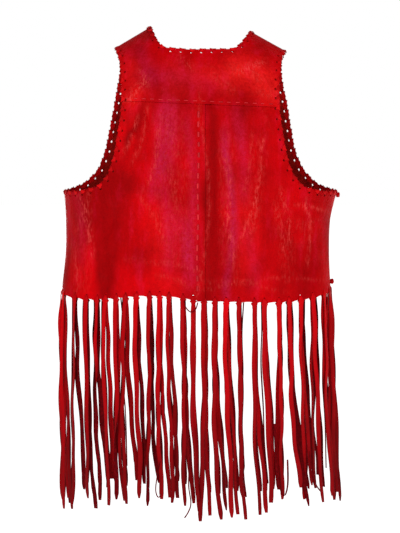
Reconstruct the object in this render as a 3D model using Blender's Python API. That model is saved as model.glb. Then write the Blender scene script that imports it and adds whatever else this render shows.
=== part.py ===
"""Sleeveless leather vest with whip-laced edges and a long thong fringe, hollow as if worn.

Metres, +Z up. The back faces -Y, the two fronts face +Y, and +X is the wearer's right. The origin
lies between back and front at the middle height of the shoulder seams, where a wearer's shoulders
carry the vest. Every panel is a leather wall laid over one filled-out torso form: rings from the
hem to the chest, which close over at the shoulder seams.
"""

import math
from collections import namedtuple

import bmesh
import bpy
from mathutils import Vector

# Leather and seams
LEATHER = 0.0015
SEAM_GAP = 0.0003
HEM_GAP = 0.0008
LAP_OVER = 0.007
LAP_UNDER = 0.006
LAP_SHOULDER = 0.030

# Torso rings from below the hem to the neck; shift is how far the middle leans to +X
Ring = namedtuple("Ring", "height half_width half_depth shift")
TORSO = (
    Ring(-0.425, 0.2195, 0.1080, -0.0065),
    Ring(-0.388, 0.2161, 0.1060, -0.0065),
    Ring(-0.340, 0.2127, 0.1050, -0.0050),
    Ring(-0.291, 0.2133, 0.1080, -0.0040),
    Ring(-0.259, 0.2175, 0.1115, -0.0015),
    Ring(-0.241, 0.2200, 0.1130, 0.0000),
    Ring(-0.190, 0.2090, 0.1130, -0.0012),
    Ring(-0.110, 0.1900, 0.1100, -0.0012),
    Ring(-0.040, 0.1820, 0.1000, 0.0000),
    Ring(0.025, 0.1760, 0.0950, 0.0000),
)
ROUNDNESS = 2.4
SHOULDER_RISE = 0.125

# Height of the shoulder line over x; between the neck points it bridges the neck hole
Mark = namedtuple("Mark", "x height")
SHOULDER_LINE = (
    Mark(-0.180, -0.0400),
    Mark(-0.137, -0.0138),
    Mark(-0.080, 0.0198),
    Mark(0.080, 0.0126),
    Mark(0.137, -0.0189),
    Mark(0.180, -0.0430),
)
BACK_NECKLINE = (
    Mark(-0.0800, 0.0198),
    Mark(-0.0705, -0.0020),
    Mark(-0.0600, -0.0135),
    Mark(-0.0480, -0.0165),
    Mark(0.0000, -0.0185),
    Mark(0.0480, -0.0170),
    Mark(0.0590, -0.0125),
    Mark(0.0700, -0.0010),
    Mark(0.0800, 0.0126),
)
YOKE_SEAM_HEIGHT = -0.1045
YOKE_SEAM_SLOPE = -0.0407

# Armhole edges as distance from the middle: the upright stretches, and below where the back and
# the front turn in, the flat ones that run to the armpit
Edge = namedtuple("Edge", "out height")
TIP_OUT = 0.137
ARMPIT_HEIGHT = -0.2440
YOKE_ARMHOLE = (
    Edge(TIP_OUT, -0.0160),
    Edge(0.1280, -0.0340),
    Edge(0.1252, -0.0580),
    Edge(0.1240, -0.1045),
)
BACK_ARMHOLE = (
    Edge(0.1450, -0.2140),
    Edge(0.1370, -0.1900),
    Edge(0.1315, -0.1620),
    Edge(0.1268, -0.1330),
    Edge(0.1240, -0.1045),
)
BACK_ARMPIT = (
    Edge(0.1450, -0.2140),
    Edge(0.1610, -0.2325),
    Edge(0.1770, -0.2385),
    Edge(0.1950, -0.2425),
)
FRONT_ARMHOLE = (
    Edge(0.1690, -0.2110),
    Edge(0.1570, -0.1830),
    Edge(0.1500, -0.1480),
    Edge(0.1400, -0.0970),
    Edge(0.1320, -0.0560),
    Edge(0.1315, -0.0340),
    Edge(TIP_OUT, -0.0160),
)
FRONT_ARMPIT = (
    Edge(0.1690, -0.2110),
    Edge(0.1880, -0.2310),
    Edge(0.2050, -0.2395),
)

# Front edges: a narrow opening that leans to the wearer's left, then the V to the neck points
OPENING_HALF = 0.009
OPENING_MIDDLE_AT_HEM = -0.015
OPENING_MIDDLE_AT_V = -0.003
V_BOTTOM_HEIGHT = -0.205
V_BULGE = 0.010

# Hem: lowest line of the leather all round, as its back and its front hang
BACK_HEM = (
    Mark(-0.225, -0.4110),
    Mark(-0.170, -0.4150),
    Mark(-0.095, -0.4085),
    Mark(-0.050, -0.4085),
    Mark(0.000, -0.4150),
    Mark(0.080, -0.4180),
    Mark(0.125, -0.4185),
    Mark(0.170, -0.4140),
    Mark(0.215, -0.4045),
)
FRONT_HEM = (
    Mark(-0.225, -0.4110),
    Mark(-0.120, -0.4170),
    Mark(-0.030, -0.4130),
    Mark(0.060, -0.4140),
    Mark(0.150, -0.4160),
    Mark(0.215, -0.4045),
)
STRIP_HEIGHT = 0.010

# Folds: ridges stand out and troughs sink in, each fading towards both of its ends
FOLD_FADE = 3.0
SIDE_HOLD_POWER = 6
Fold = namedtuple("Fold", "x_top x_bottom top bottom half_width rise")
BACK_FOLDS = (
    Fold(0.014, 0.017, -0.112, -0.430, 0.010, -0.0040),
    Fold(0.038, 0.036, -0.120, -0.385, 0.013, 0.0028),
    Fold(-0.046, -0.036, -0.100, -0.370, 0.022, 0.0035),
    Fold(-0.094, -0.088, -0.095, -0.220, 0.012, -0.0030),
    Fold(-0.146, -0.156, -0.225, -0.430, 0.016, -0.0050),
    Fold(-0.186, -0.180, -0.250, -0.415, 0.013, 0.0030),
    Fold(0.098, 0.074, -0.140, -0.330, 0.010, 0.0032),
    Fold(0.126, 0.142, -0.225, -0.400, 0.010, 0.0034),
    Fold(0.168, 0.160, -0.345, -0.430, 0.012, -0.0040),
    Fold(0.108, 0.070, -0.330, -0.410, 0.012, -0.0026),
)
FRONT_FOLDS = (
    Fold(-0.060, -0.050, -0.150, -0.400, 0.018, 0.0036),
    Fold(-0.098, -0.104, -0.110, -0.330, 0.013, -0.0036),
    Fold(-0.150, -0.148, -0.250, -0.425, 0.015, -0.0044),
    Fold(0.046, 0.060, -0.180, -0.425, 0.014, -0.0036),
    Fold(0.086, 0.096, -0.120, -0.360, 0.018, 0.0034),
    Fold(0.130, 0.146, -0.230, -0.430, 0.014, 0.0030),
    Fold(0.172, 0.166, -0.270, -0.420, 0.011, -0.0034),
)

# How finely curves and the form are read
CURVE_STEPS = 12
GIRTH_STEPS = 400
WALK_STEP = 0.0005
NORMAL_WRAP_STEP = 0.004
NORMAL_HEIGHT_STEP = -0.0006

# Grid of each panel, counted in cells
YOKE_SHOULDER_CELLS = 3
NECK_CELLS = 14
YOKE_ROWS = 7
BACK_MIDDLE_CELLS = 9
BACK_ARMPIT_CELLS = 10
BACK_LOW_ROWS = 7
BACK_HIGH_ROWS = 7
FRONT_MIDDLE_CELLS = 8
FRONT_ARMPIT_CELLS = 8
FRONT_LOW_ROWS = 7
FRONT_HIGH_ROWS = 14
TOP_CLOSENESS = 1.45

# Whip lacing along the edges: a thong that swells over each stitch
SCALLOP_WIDE = 0.0036
SCALLOP_NARROW = 0.0018
LACE_INNER_HALF = 0.0014
LACE_OUTER_HALF = 0.0009

# Fringe thongs
THONG_WIDTH = 0.0062
THONG_THICK = 0.0014
STRIP_PROUD = 0.0009
ARCH_RISE = 0.0026
STRAND_CELLS = 5
PARTING_LENGTH = 0.050
NEAR_LAYER = 0.0034
LAYER_STEP = 0.0044
MOST_TURN = math.radians(20)
SWAY_POWER = 1.3
WAVE_RISE = 0.0035
WAVE_ANGLE = 5.0
TURN_ANGLE = 3.0
TURN_PHASE = 1.7
ROOT_PHASE = 2.1
INNER_PHASE = 1.3
END_TAPER = 0.55

# Back roots: distance along the hem from the middle, then the sway to +X and the length of the
# outer and of the inner thong that hang from it
Root = namedtuple("Root", "along outer_sway outer_length inner_sway inner_length")
BACK_LEFT_ROOTS = (
    Root(-0.2595, 0.003, 0.334, 0.006, 0.331),
    Root(-0.2380, 0.003, 0.344, 0.007, 0.345),
    Root(-0.2030, -0.005, 0.332, 0.016, 0.307),
    Root(-0.1800, 0.008, 0.317, 0.012, 0.334),
    Root(-0.1610, 0.005, 0.318, 0.012, 0.290),
    Root(-0.1460, 0.006, 0.326, 0.011, 0.285),
    Root(-0.1280, 0.005, 0.318, 0.010, 0.321),
    Root(-0.1130, 0.002, 0.325, 0.012, 0.290),
    Root(-0.0950, 0.006, 0.318, 0.014, 0.296),
    Root(-0.0740, 0.002, 0.330, 0.010, 0.296),
    Root(-0.0580, 0.003, 0.320, 0.010, 0.318),
    Root(-0.0430, 0.006, 0.324, 0.015, 0.319),
    Root(-0.0210, 0.007, 0.327, 0.015, 0.324),
    Root(-0.0050, 0.007, 0.313, 0.004, 0.335),
)
BACK_RIGHT_ROOTS = (
    Root(0.0120, 0.000, 0.347, 0.009, 0.339),
    Root(0.0290, 0.008, 0.343, 0.014, 0.331),
    Root(0.0470, 0.009, 0.340, 0.020, 0.336),
    Root(0.0670, 0.010, 0.306, 0.010, 0.345),
    Root(0.0920, 0.008, 0.335, 0.016, 0.333),
    Root(0.1080, 0.010, 0.315, 0.019, 0.296),
    Root(0.1320, 0.009, 0.311, -0.001, 0.297),
    Root(0.1490, 0.015, 0.294, 0.030, 0.326),
    Root(0.1710, 0.004, 0.317, 0.022, 0.295),
    Root(0.1930, 0.017, 0.326, 0.008, 0.305),
    Root(0.2200, 0.011, 0.324, 0.019, 0.329),
    Root(0.2415, 0.009, 0.323, 0.012, 0.336),
    Root(0.2620, 0.014, 0.334, 0.018, 0.342),
)

# Front roots follow the back's, spread wider and kept off both ends of the strip
FRONT_SPREAD = 1.06
ROOT_MARGIN = 0.0045
SIDE_SLIT = 0.004

# Knots that end the lacing, on the wearer's right side seam
KNOT_RADIUS = 0.0038
KNOT_STRETCH = 1.25
KNOT_REACH = 0.90
KNOT_HEIGHTS = {"knot_armpit_right": -0.2500, "knot_hem_right": -0.3900}

RED_GRAIN = (0.52, 0.006, 0.008, 1.0)
RED_LACE = (0.40, 0.006, 0.008, 1.0)
RED_FRINGE = (0.33, 0.005, 0.008, 1.0)


def leather_material(name, colour, roughness):
    """One leather finish: its colour and how matt it is."""
    material = bpy.data.materials.new(name)
    material.use_nodes = True
    shader = material.node_tree.nodes["Principled BSDF"]
    shader.inputs["Base Color"].default_value = colour
    shader.inputs["Roughness"].default_value = roughness
    shader.inputs["Metallic"].default_value = 0.0
    return material


def add_object(name, mesh_data, material):
    """Turns a bmesh into a named object in the scene."""
    bmesh.ops.recalc_face_normals(mesh_data, faces=mesh_data.faces[:])
    if mesh_data.calc_volume(signed=True) < 0:
        bmesh.ops.reverse_faces(mesh_data, faces=mesh_data.faces[:])
    mesh = bpy.data.meshes.new(name)
    mesh_data.to_mesh(mesh)
    mesh_data.free()
    mesh.materials.append(material)
    obj = bpy.data.objects.new(name, mesh)
    bpy.context.scene.collection.objects.link(obj)
    return obj


def blend(start, end, share):
    return start + (end - start) * share


def ease(share):
    share = min(max(share, 0.0), 1.0)
    return share * share * (3 - 2 * share)


def smooth_read(rows, key, value, at):
    """Reads a column of a table between its rows, as a cubic through the rows."""
    rows = sorted(rows, key=lambda row: getattr(row, key))
    keys = [getattr(row, key) for row in rows]
    values = [getattr(row, value) for row in rows]
    if at <= keys[0]:
        return values[0]
    if at >= keys[-1]:
        return values[-1]
    cell = max(i for i in range(len(keys) - 1) if keys[i] <= at)
    slopes = []
    for i in (cell, cell + 1):
        low = max(i - 1, 0)
        high = min(i + 1, len(keys) - 1)
        slopes.append((values[high] - values[low]) / (keys[high] - keys[low]))
    width = keys[cell + 1] - keys[cell]
    t = (at - keys[cell]) / width
    rise = values[cell + 1] - values[cell]
    start_pull = slopes[0] * width - rise
    end_pull = rise - slopes[1] * width
    return values[cell] + t * rise + t * (1 - t) * (start_pull * (1 - t) + end_pull * t)


def straight_read(marks, x):
    """Height of a line of marks over x, straight between two marks."""
    if x <= marks[0].x:
        return marks[0].height
    for left, right in zip(marks, marks[1:]):
        if x <= right.x:
            return blend(left.height, right.height, (x - left.x) / (right.x - left.x))
    return marks[-1].height


def smooth_path(points, cells, closeness=1.0):
    """A smooth curve through (x, height) points, cut into cells that may shorten to its end."""
    fine = []
    for i in range(len(points) - 1):
        before = points[max(i - 1, 0)]
        start, end = points[i], points[i + 1]
        after = points[min(i + 2, len(points) - 1)]
        for step in range(CURVE_STEPS):
            t = step / CURVE_STEPS
            fine.append(
                tuple(
                    0.5 * (2 * b + (c - a) * t + (2 * a - 5 * b + 4 * c - d) * t * t
                           + (3 * b - a - 3 * c + d) * t ** 3)
                    for a, b, c, d in zip(before, start, end, after)
                )
            )
    fine.append(tuple(points[-1]))
    return resample(fine, cells, closeness)


def resample(line, cells, closeness=1.0):
    """Points along a fine line, ends included; closeness over 1 sets the last ones closer."""
    lengths = [0.0]
    for a, b in zip(line, line[1:]):
        lengths.append(lengths[-1] + math.dist(a, b))
    result = []
    spot = 0
    for i in range(cells + 1):
        wanted = lengths[-1] * (1 - (1 - i / cells) ** closeness)
        while spot < len(line) - 2 and lengths[spot + 1] < wanted:
            spot += 1
        share = (wanted - lengths[spot]) / (lengths[spot + 1] - lengths[spot])
        result.append(tuple(blend(a, b, share) for a, b in zip(line[spot], line[spot + 1])))
    return result


def ring_at(height):
    """Half width, half depth and shift of the torso form at a height."""
    return tuple(smooth_read(TORSO, "height", column, height)
                 for column in ("half_width", "half_depth", "shift"))


def wrap_of(x, height):
    """How far round the form x lies: 0 in the middle, 1 or -1 on the side seam."""
    half_width, _, shift = ring_at(height)
    reach = min(max((x - shift) / half_width, -1.0), 1.0)
    return math.asin(reach) * 2 / math.pi


def form_point(face, wrap, height):
    """A point of the bare form; face is -1 on the back and 1 on the fronts."""
    half_width, half_depth, shift = ring_at(height)
    reach = math.sin(wrap * math.pi / 2)
    x = shift + half_width * reach
    depth = half_depth * max(1 - abs(reach) ** ROUNDNESS, 0.0) ** (1 / ROUNDNESS)
    below = (straight_read(SHOULDER_LINE, x) - height) / SHOULDER_RISE
    if below < 1:
        depth *= math.sqrt(1 - (1 - max(below, 0.0)) ** 2)
    return Vector((x, face * max(depth, SEAM_GAP / 2), height))


def form_normal(face, wrap, height):
    """The form's outward direction, from its slopes round and up."""
    step_round = NORMAL_WRAP_STEP if wrap < 0 else -NORMAL_WRAP_STEP
    here = form_point(face, wrap, height)
    around = (form_point(face, wrap + step_round, height) - here) / step_round
    up = (form_point(face, wrap, height + NORMAL_HEIGHT_STEP) - here) / NORMAL_HEIGHT_STEP
    normal = around.cross(up).normalized()
    from_middle = Vector((here.x, here.y * 2, SHOULDER_RISE / 6))
    return normal if normal.dot(from_middle) > 0 else -normal


def fold_rise(face, x, height):
    """How far all the folds lift the leather at a place, sinking where they are troughs."""
    rise = 0.0
    for fold in BACK_FOLDS if face < 0 else FRONT_FOLDS:
        along = (fold.top - height) / (fold.top - fold.bottom)
        if not 0 < along < 1:
            continue
        middle = blend(fold.x_top, fold.x_bottom, along)
        across = (x - middle) / fold.half_width
        strength = ease(min(along, 1 - along) * FOLD_FADE)
        rise += fold.rise * strength * math.exp(-across * across)
    return rise


def leather_point(face, wrap, height, extra=0.0):
    """A point on the leather's outer side and the outward direction there."""
    point = form_point(face, wrap, height)
    normal = form_normal(face, wrap, height)
    hold = 1 - abs(math.sin(wrap * math.pi / 2)) ** SIDE_HOLD_POWER
    return point + normal * (fold_rise(face, point.x, height) * hold + extra), normal


def stay_on_side(point, face):
    """Keeps a point on its own side of the side and shoulder seams."""
    if point.y * face < SEAM_GAP / 2:
        point.y = face * SEAM_GAP / 2
    return point


class Panel:
    """A leather panel: a grid on the form, in a lower patch and an upper patch that stands on it.

    Each patch lies between four edges of (x, height) points: bottom, top, inner and outer. The
    upper patch takes the lower one's first columns, so the lower one's last columns end on the
    armhole.
    """

    def __init__(self, face, lower, upper=None, lift=None):
        self.face = face
        self.spots = {}
        self.columns = len(lower[0]) - 1
        self.low_rows = len(lower[2]) - 1
        self.high_columns = len(upper[0]) - 1 if upper else self.columns
        self.rows = self.low_rows + (len(upper[2]) - 1 if upper else 0)
        self.lay(lower, 0, lift)
        if upper:
            self.lay(upper, self.low_rows, lift)

    def lay(self, edges, first_row, lift):
        """Lays one patch on the form, blending its four edges into each grid point."""
        bottom, top, inner, outer = [[(wrap_of(x, z), z) for x, z in edge] for edge in edges]
        columns = len(bottom) - 1
        rows = len(inner) - 1
        for j in range(rows + 1):
            v = j / rows
            for i in range(columns + 1):
                u = i / columns
                place = []
                for axis in (0, 1):
                    upright = blend(bottom[i][axis], top[i][axis], v)
                    level = blend(inner[j][axis], outer[j][axis], u)
                    low = blend(bottom[0][axis], bottom[-1][axis], u)
                    high = blend(top[0][axis], top[-1][axis], u)
                    place.append(upright + level - blend(low, high, v))
                wrap, height = place
                extra = lift(form_point(self.face, wrap, height).x) if lift else 0.0
                point, normal = leather_point(self.face, wrap, height, extra)
                self.spots[i, j + first_row] = (stay_on_side(point, self.face), normal)

    def stations(self, places):
        """Middle of the leather, outward direction and way off the panel at edge points."""
        result = []
        for place, inside in places:
            point, normal = self.spots[place]
            result.append((point - normal * LEATHER / 2, normal, point - self.spots[inside][0]))
        return result

    def inner_edge(self):
        return self.stations([((0, j), (1, j)) for j in range(self.rows + 1)])

    def armhole_edge(self):
        """Stations from the armpit up the armhole."""
        row = self.low_rows
        corner = self.high_columns
        places = [((i, row), (i, row - 1)) for i in range(self.columns, corner, -1)]
        places.append(((corner, row), (corner - 1, row - 1)))
        places += [((corner, j), (corner - 1, j)) for j in range(row + 1, self.rows + 1)]
        return self.stations(places)

    def build(self, name, material):
        """The panel as a wall: outer side, inner side and the cut edges."""
        mesh_data = bmesh.new()
        outer = {}
        inner = {}
        for place, (point, normal) in self.spots.items():
            outer[place] = mesh_data.verts.new(point)
            inner[place] = mesh_data.verts.new(stay_on_side(point - normal * LEATHER, self.face))
        for j in range(self.rows):
            for i in range(self.columns if j < self.low_rows else self.high_columns):
                corners = ((i, j), (i + 1, j), (i + 1, j + 1), (i, j + 1))
                mesh_data.faces.new([outer[corner] for corner in corners])
                mesh_data.faces.new([inner[corner] for corner in reversed(corners)])
        last, corner, row, top = self.columns, self.high_columns, self.low_rows, self.rows
        rim = [(i, 0) for i in range(last)] + [(last, j) for j in range(row)]
        rim += [(i, row) for i in range(last, corner, -1)]
        rim += [(corner, j) for j in range(row, top)] + [(i, top) for i in range(corner, 0, -1)]
        rim += [(0, j) for j in range(top, 0, -1)]
        for a, b in zip(rim, rim[1:] + rim[:1]):
            mesh_data.faces.new((outer[b], outer[a], inner[a], inner[b]))
        return add_object(name, mesh_data, material)


def yoke_seam(x):
    return YOKE_SEAM_HEIGHT + YOKE_SEAM_SLOPE * x


def hem_line(face, x):
    marks = BACK_HEM if face < 0 else FRONT_HEM
    return smooth_read(marks, "x", "height", x)


def side_x(side, height):
    half_width, _, shift = ring_at(height)
    return shift + side * half_width


def armhole_path(edges, side, first=None, last=None):
    """An armhole table's own points on one side, with its ends replaced where they are given."""
    path = [(side * edge.out, edge.height) for edge in edges]
    if first:
        path[0] = first
    if last:
        path[-1] = last
    return path


def lower_edge(face, start_x, break_x, side, first_cells, last_cells):
    """The edge above the hem strip, from near the middle round to the side seam."""
    level = hem_line(face, side_x(side, hem_line(face, 0.0))) + STRIP_HEIGHT
    first, middle = wrap_of(start_x, level), wrap_of(break_x, level)
    wraps = [blend(first, middle, i / first_cells) for i in range(first_cells)]
    wraps += [blend(middle, side, i / last_cells) for i in range(last_cells + 1)]
    half_width, _, shift = ring_at(level)
    edge = []
    for wrap in wraps:
        x = shift + half_width * math.sin(wrap * math.pi / 2)
        edge.append((x, hem_line(face, x) + STRIP_HEIGHT + HEM_GAP))
    return edge


def side_edge(side, bottom, rows):
    """The side seam from the hem up to the armpit."""
    heights = [blend(bottom[1], ARMPIT_HEIGHT, j / rows) for j in range(rows + 1)]
    return [(side_x(side, height), height) for height in heights]


def armpit_run(edges, side, cells):
    """The armhole's flat lower stretch, from where it turns in to the armpit on the side seam."""
    armpit = (side_x(side, ARMPIT_HEIGHT), ARMPIT_HEIGHT)
    return smooth_path(armhole_path(edges, side) + [armpit], cells)


def level_run(start, end, cells, first):
    """A straight run of points whose first cell ends at the x given as first."""
    knee = (first, blend(start[1], end[1], (first - start[0]) / (end[0] - start[0])))
    return [start] + resample([knee, end], cells - 1)


def back_panel(side):
    """One lower back panel. The left one laps over the right one along the middle seam."""
    over = side < 0
    start_x = LAP_OVER if over else -LAP_UNDER
    lap_edge = -LAP_UNDER if over else LAP_OVER
    cells = BACK_MIDDLE_CELLS
    turn = (side * BACK_ARMPIT[0].out, BACK_ARMPIT[0].height)
    seam_end = side * YOKE_ARMHOLE[-1].out
    corner = (seam_end, yoke_seam(seam_end) - SEAM_GAP / 2)
    bottom = [(start_x, hem_line(-1, start_x) + STRIP_HEIGHT + HEM_GAP)]
    bottom += lower_edge(-1, lap_edge, turn[0], side, cells - 1, BACK_ARMPIT_CELLS)
    middle = level_run((start_x, turn[1]), turn, cells, lap_edge)
    middle += armpit_run(BACK_ARMPIT, side, BACK_ARMPIT_CELLS)[1:]
    inner = resample([bottom[0], middle[0]], BACK_LOW_ROWS)
    lower = (bottom, middle, inner, side_edge(side, bottom[-1], BACK_LOW_ROWS))
    top = level_run((start_x, yoke_seam(start_x) - SEAM_GAP / 2), corner, cells, lap_edge)
    high_inner = resample([middle[0], top[0]], BACK_HIGH_ROWS)
    high_outer = smooth_path(armhole_path(BACK_ARMHOLE, side, turn, corner), BACK_HIGH_ROWS)
    upper = (middle[:cells + 1], top, high_inner, high_outer)

    def lap_lift(x):
        raised = ease((x + LAP_UNDER + LAP_SHOULDER) / LAP_SHOULDER)
        return (LEATHER + SEAM_GAP) * raised

    return Panel(-1, lower, upper, lap_lift if over else None)


def shoulder_tip(side):
    return (side * TIP_OUT, straight_read(SHOULDER_LINE, side * TIP_OUT))


def neck_point(side):
    mark = BACK_NECKLINE[0] if side < 0 else BACK_NECKLINE[-1]
    return (mark.x, mark.height)


def back_yoke():
    """The yoke, from the seam across the shoulder blades up to the neckline and the shoulders."""
    top = resample([shoulder_tip(-1), neck_point(-1)], YOKE_SHOULDER_CELLS)
    top += smooth_path([tuple(mark) for mark in BACK_NECKLINE], NECK_CELLS)[1:-1]
    top += resample([neck_point(1), shoulder_tip(1)], YOKE_SHOULDER_CELLS)
    sides = []
    for side in (-1, 1):
        low_x = side * YOKE_ARMHOLE[-1].out
        low = (low_x, yoke_seam(low_x) + SEAM_GAP / 2)
        path = armhole_path(YOKE_ARMHOLE, side, shoulder_tip(side), low)
        sides.append(smooth_path(path[::-1], YOKE_ROWS, TOP_CLOSENESS))
    left, right = sides
    bottom = resample([left[0], right[0]], len(top) - 1)
    return Panel(-1, (bottom, top, left, right))


def front_edge_x(side, height):
    """The front edge beside the opening, below the V."""
    share = (height - V_BOTTOM_HEIGHT) / (hem_line(1, 0) - V_BOTTOM_HEIGHT)
    middle = blend(OPENING_MIDDLE_AT_V, OPENING_MIDDLE_AT_HEM, share)
    return middle + side * OPENING_HALF


def front_panel(side):
    """One front, cut whole from the hem to the shoulder seam."""
    cells = FRONT_MIDDLE_CELLS
    turn = (side * FRONT_ARMPIT[0].out, FRONT_ARMPIT[0].height)
    start_x = front_edge_x(side, hem_line(1, 0))
    bottom = lower_edge(1, start_x, turn[0], side, cells, FRONT_ARMPIT_CELLS)
    v_bottom = (front_edge_x(side, V_BOTTOM_HEIGHT), V_BOTTOM_HEIGHT)
    middle = resample([v_bottom, turn], cells)
    middle += armpit_run(FRONT_ARMPIT, side, FRONT_ARMPIT_CELLS)[1:]
    inner = resample([bottom[0], v_bottom], FRONT_LOW_ROWS)
    lower = (bottom, middle, inner, side_edge(side, bottom[-1], FRONT_LOW_ROWS))
    neck = neck_point(side)
    bend = (blend(v_bottom[0], neck[0], 0.5) - side * V_BULGE, blend(v_bottom[1], neck[1], 0.5))
    v_edge = smooth_path([v_bottom, bend, neck], FRONT_HIGH_ROWS, TOP_CLOSENESS)
    path = armhole_path(FRONT_ARMHOLE, side, turn, shoulder_tip(side))
    outer = smooth_path(path, FRONT_HIGH_ROWS, TOP_CLOSENESS)
    upper = (middle[:cells + 1], resample([neck, shoulder_tip(side)], cells), v_edge, outer)
    return Panel(1, lower, upper)


def merge_stations(runs):
    """Joins the stations of several panels, one for each meeting of two panels."""
    line = list(runs[0])
    for run in runs[1:]:
        line[-1] = tuple((a + b) / 2 for a, b in zip(line[-1], run[0]))
        line += run[1:]
    return line


def lace(name, stations, pieces, ring, material):
    """A four-sided thong along an edge, which swells at each stitch and narrows between two.

    Each cell between two stations is cut into its number of pieces, two for a whole stitch.
    """
    count = len(stations)
    sections = []
    for cell, number in enumerate(pieces):
        here, there = stations[cell], stations[(cell + 1) % count]
        for piece in range(number):
            sections.append([a.lerp(b, piece / number) for a, b in zip(here, there)])
    if not ring:
        sections.append(stations[-1])
    total = len(sections)
    mesh_data = bmesh.new()
    loops = []
    for index, (point, normal, away) in enumerate(sections):
        before = sections[index - 1][0] if ring or index else point
        after = sections[(index + 1) % total][0] if ring or index < total - 1 else point
        tangent = (after - before).normalized()
        off = tangent.cross(normal).normalized()
        off = off if off.dot(away) > 0 else -off
        width = SCALLOP_WIDE if index % 2 else SCALLOP_NARROW
        near = point + off * SEAM_GAP
        far = near + off * width
        side_way = normal.normalized()
        loops.append([mesh_data.verts.new(corner) for corner in (
            near + side_way * LACE_INNER_HALF, far + side_way * LACE_OUTER_HALF,
            far - side_way * LACE_OUTER_HALF, near - side_way * LACE_INNER_HALF)])
    pairs = list(zip(loops, loops[1:])) + ([(loops[-1], loops[0])] if ring else [])
    for first, second in pairs:
        for k in range(4):
            mesh_data.faces.new((first[k], first[(k + 1) % 4], second[(k + 1) % 4], second[k]))
    if not ring:
        mesh_data.faces.new(loops[0][::-1])
        mesh_data.faces.new(loops[-1])
    return add_object(name, mesh_data, material)


def neck_lacing(yoke, left, right, material):
    """One thong: up the left front, round the back neck and down the right front."""
    top = yoke.rows
    across = range(YOKE_SHOULDER_CELLS, YOKE_SHOULDER_CELLS + NECK_CELLS + 1)
    neck = yoke.stations([((i, top), (i, top - 1)) for i in across])
    front = [4] * FRONT_LOW_ROWS + [2] * FRONT_HIGH_ROWS
    pieces = front + [2] * NECK_CELLS + front[::-1]
    stations = merge_stations([left.inner_edge(), neck, right.inner_edge()[::-1]])
    lace("lacing_neck", stations, pieces, False, material)


def armhole_lacing(side, yoke, back, front, material):
    """A closed ring of lacing: up the back's armhole, over the shoulder and down the front's."""
    column, inside = (0, 1) if side < 0 else (yoke.columns, yoke.columns - 1)
    strap = yoke.stations([((column, j), (inside, j)) for j in range(yoke.rows + 1)])
    line = merge_stations([back.armhole_edge(), strap, front.armhole_edge()[::-1]])
    line[0] = tuple((a + b) / 2 for a, b in zip(line[0], line.pop()))
    pieces = [1] * BACK_ARMPIT_CELLS + [2] * (BACK_HIGH_ROWS + YOKE_ROWS + FRONT_HIGH_ROWS)
    pieces += [1] * FRONT_ARMPIT_CELLS
    name = "lacing_armhole_left" if side < 0 else "lacing_armhole_right"
    lace(name, line, pieces, True, material)


def hem_frame(face, along):
    """The hem at a distance from the middle: its point, the way along it and the outward way."""
    level = hem_line(face, 0.0)
    half_width, _, shift = ring_at(level)
    sign = 1 if along > 0 else -1
    walked = 0.0
    wrap = 0.0
    here = form_point(face, wrap, level)
    while walked < abs(along) and wrap * sign < 1:
        wrap += sign * WALK_STEP
        there = form_point(face, min(max(wrap, -1.0), 1.0), level)
        walked += (there - here).length
        here = there
    wrap = min(max(wrap, -1.0), 1.0)
    point, outward = leather_point(face, wrap, hem_line(face, here.x))
    outward.z = 0.0
    outward.normalize()
    ahead = Vector((0, 0, 1)).cross(outward) * -face
    return point, ahead, outward


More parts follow.
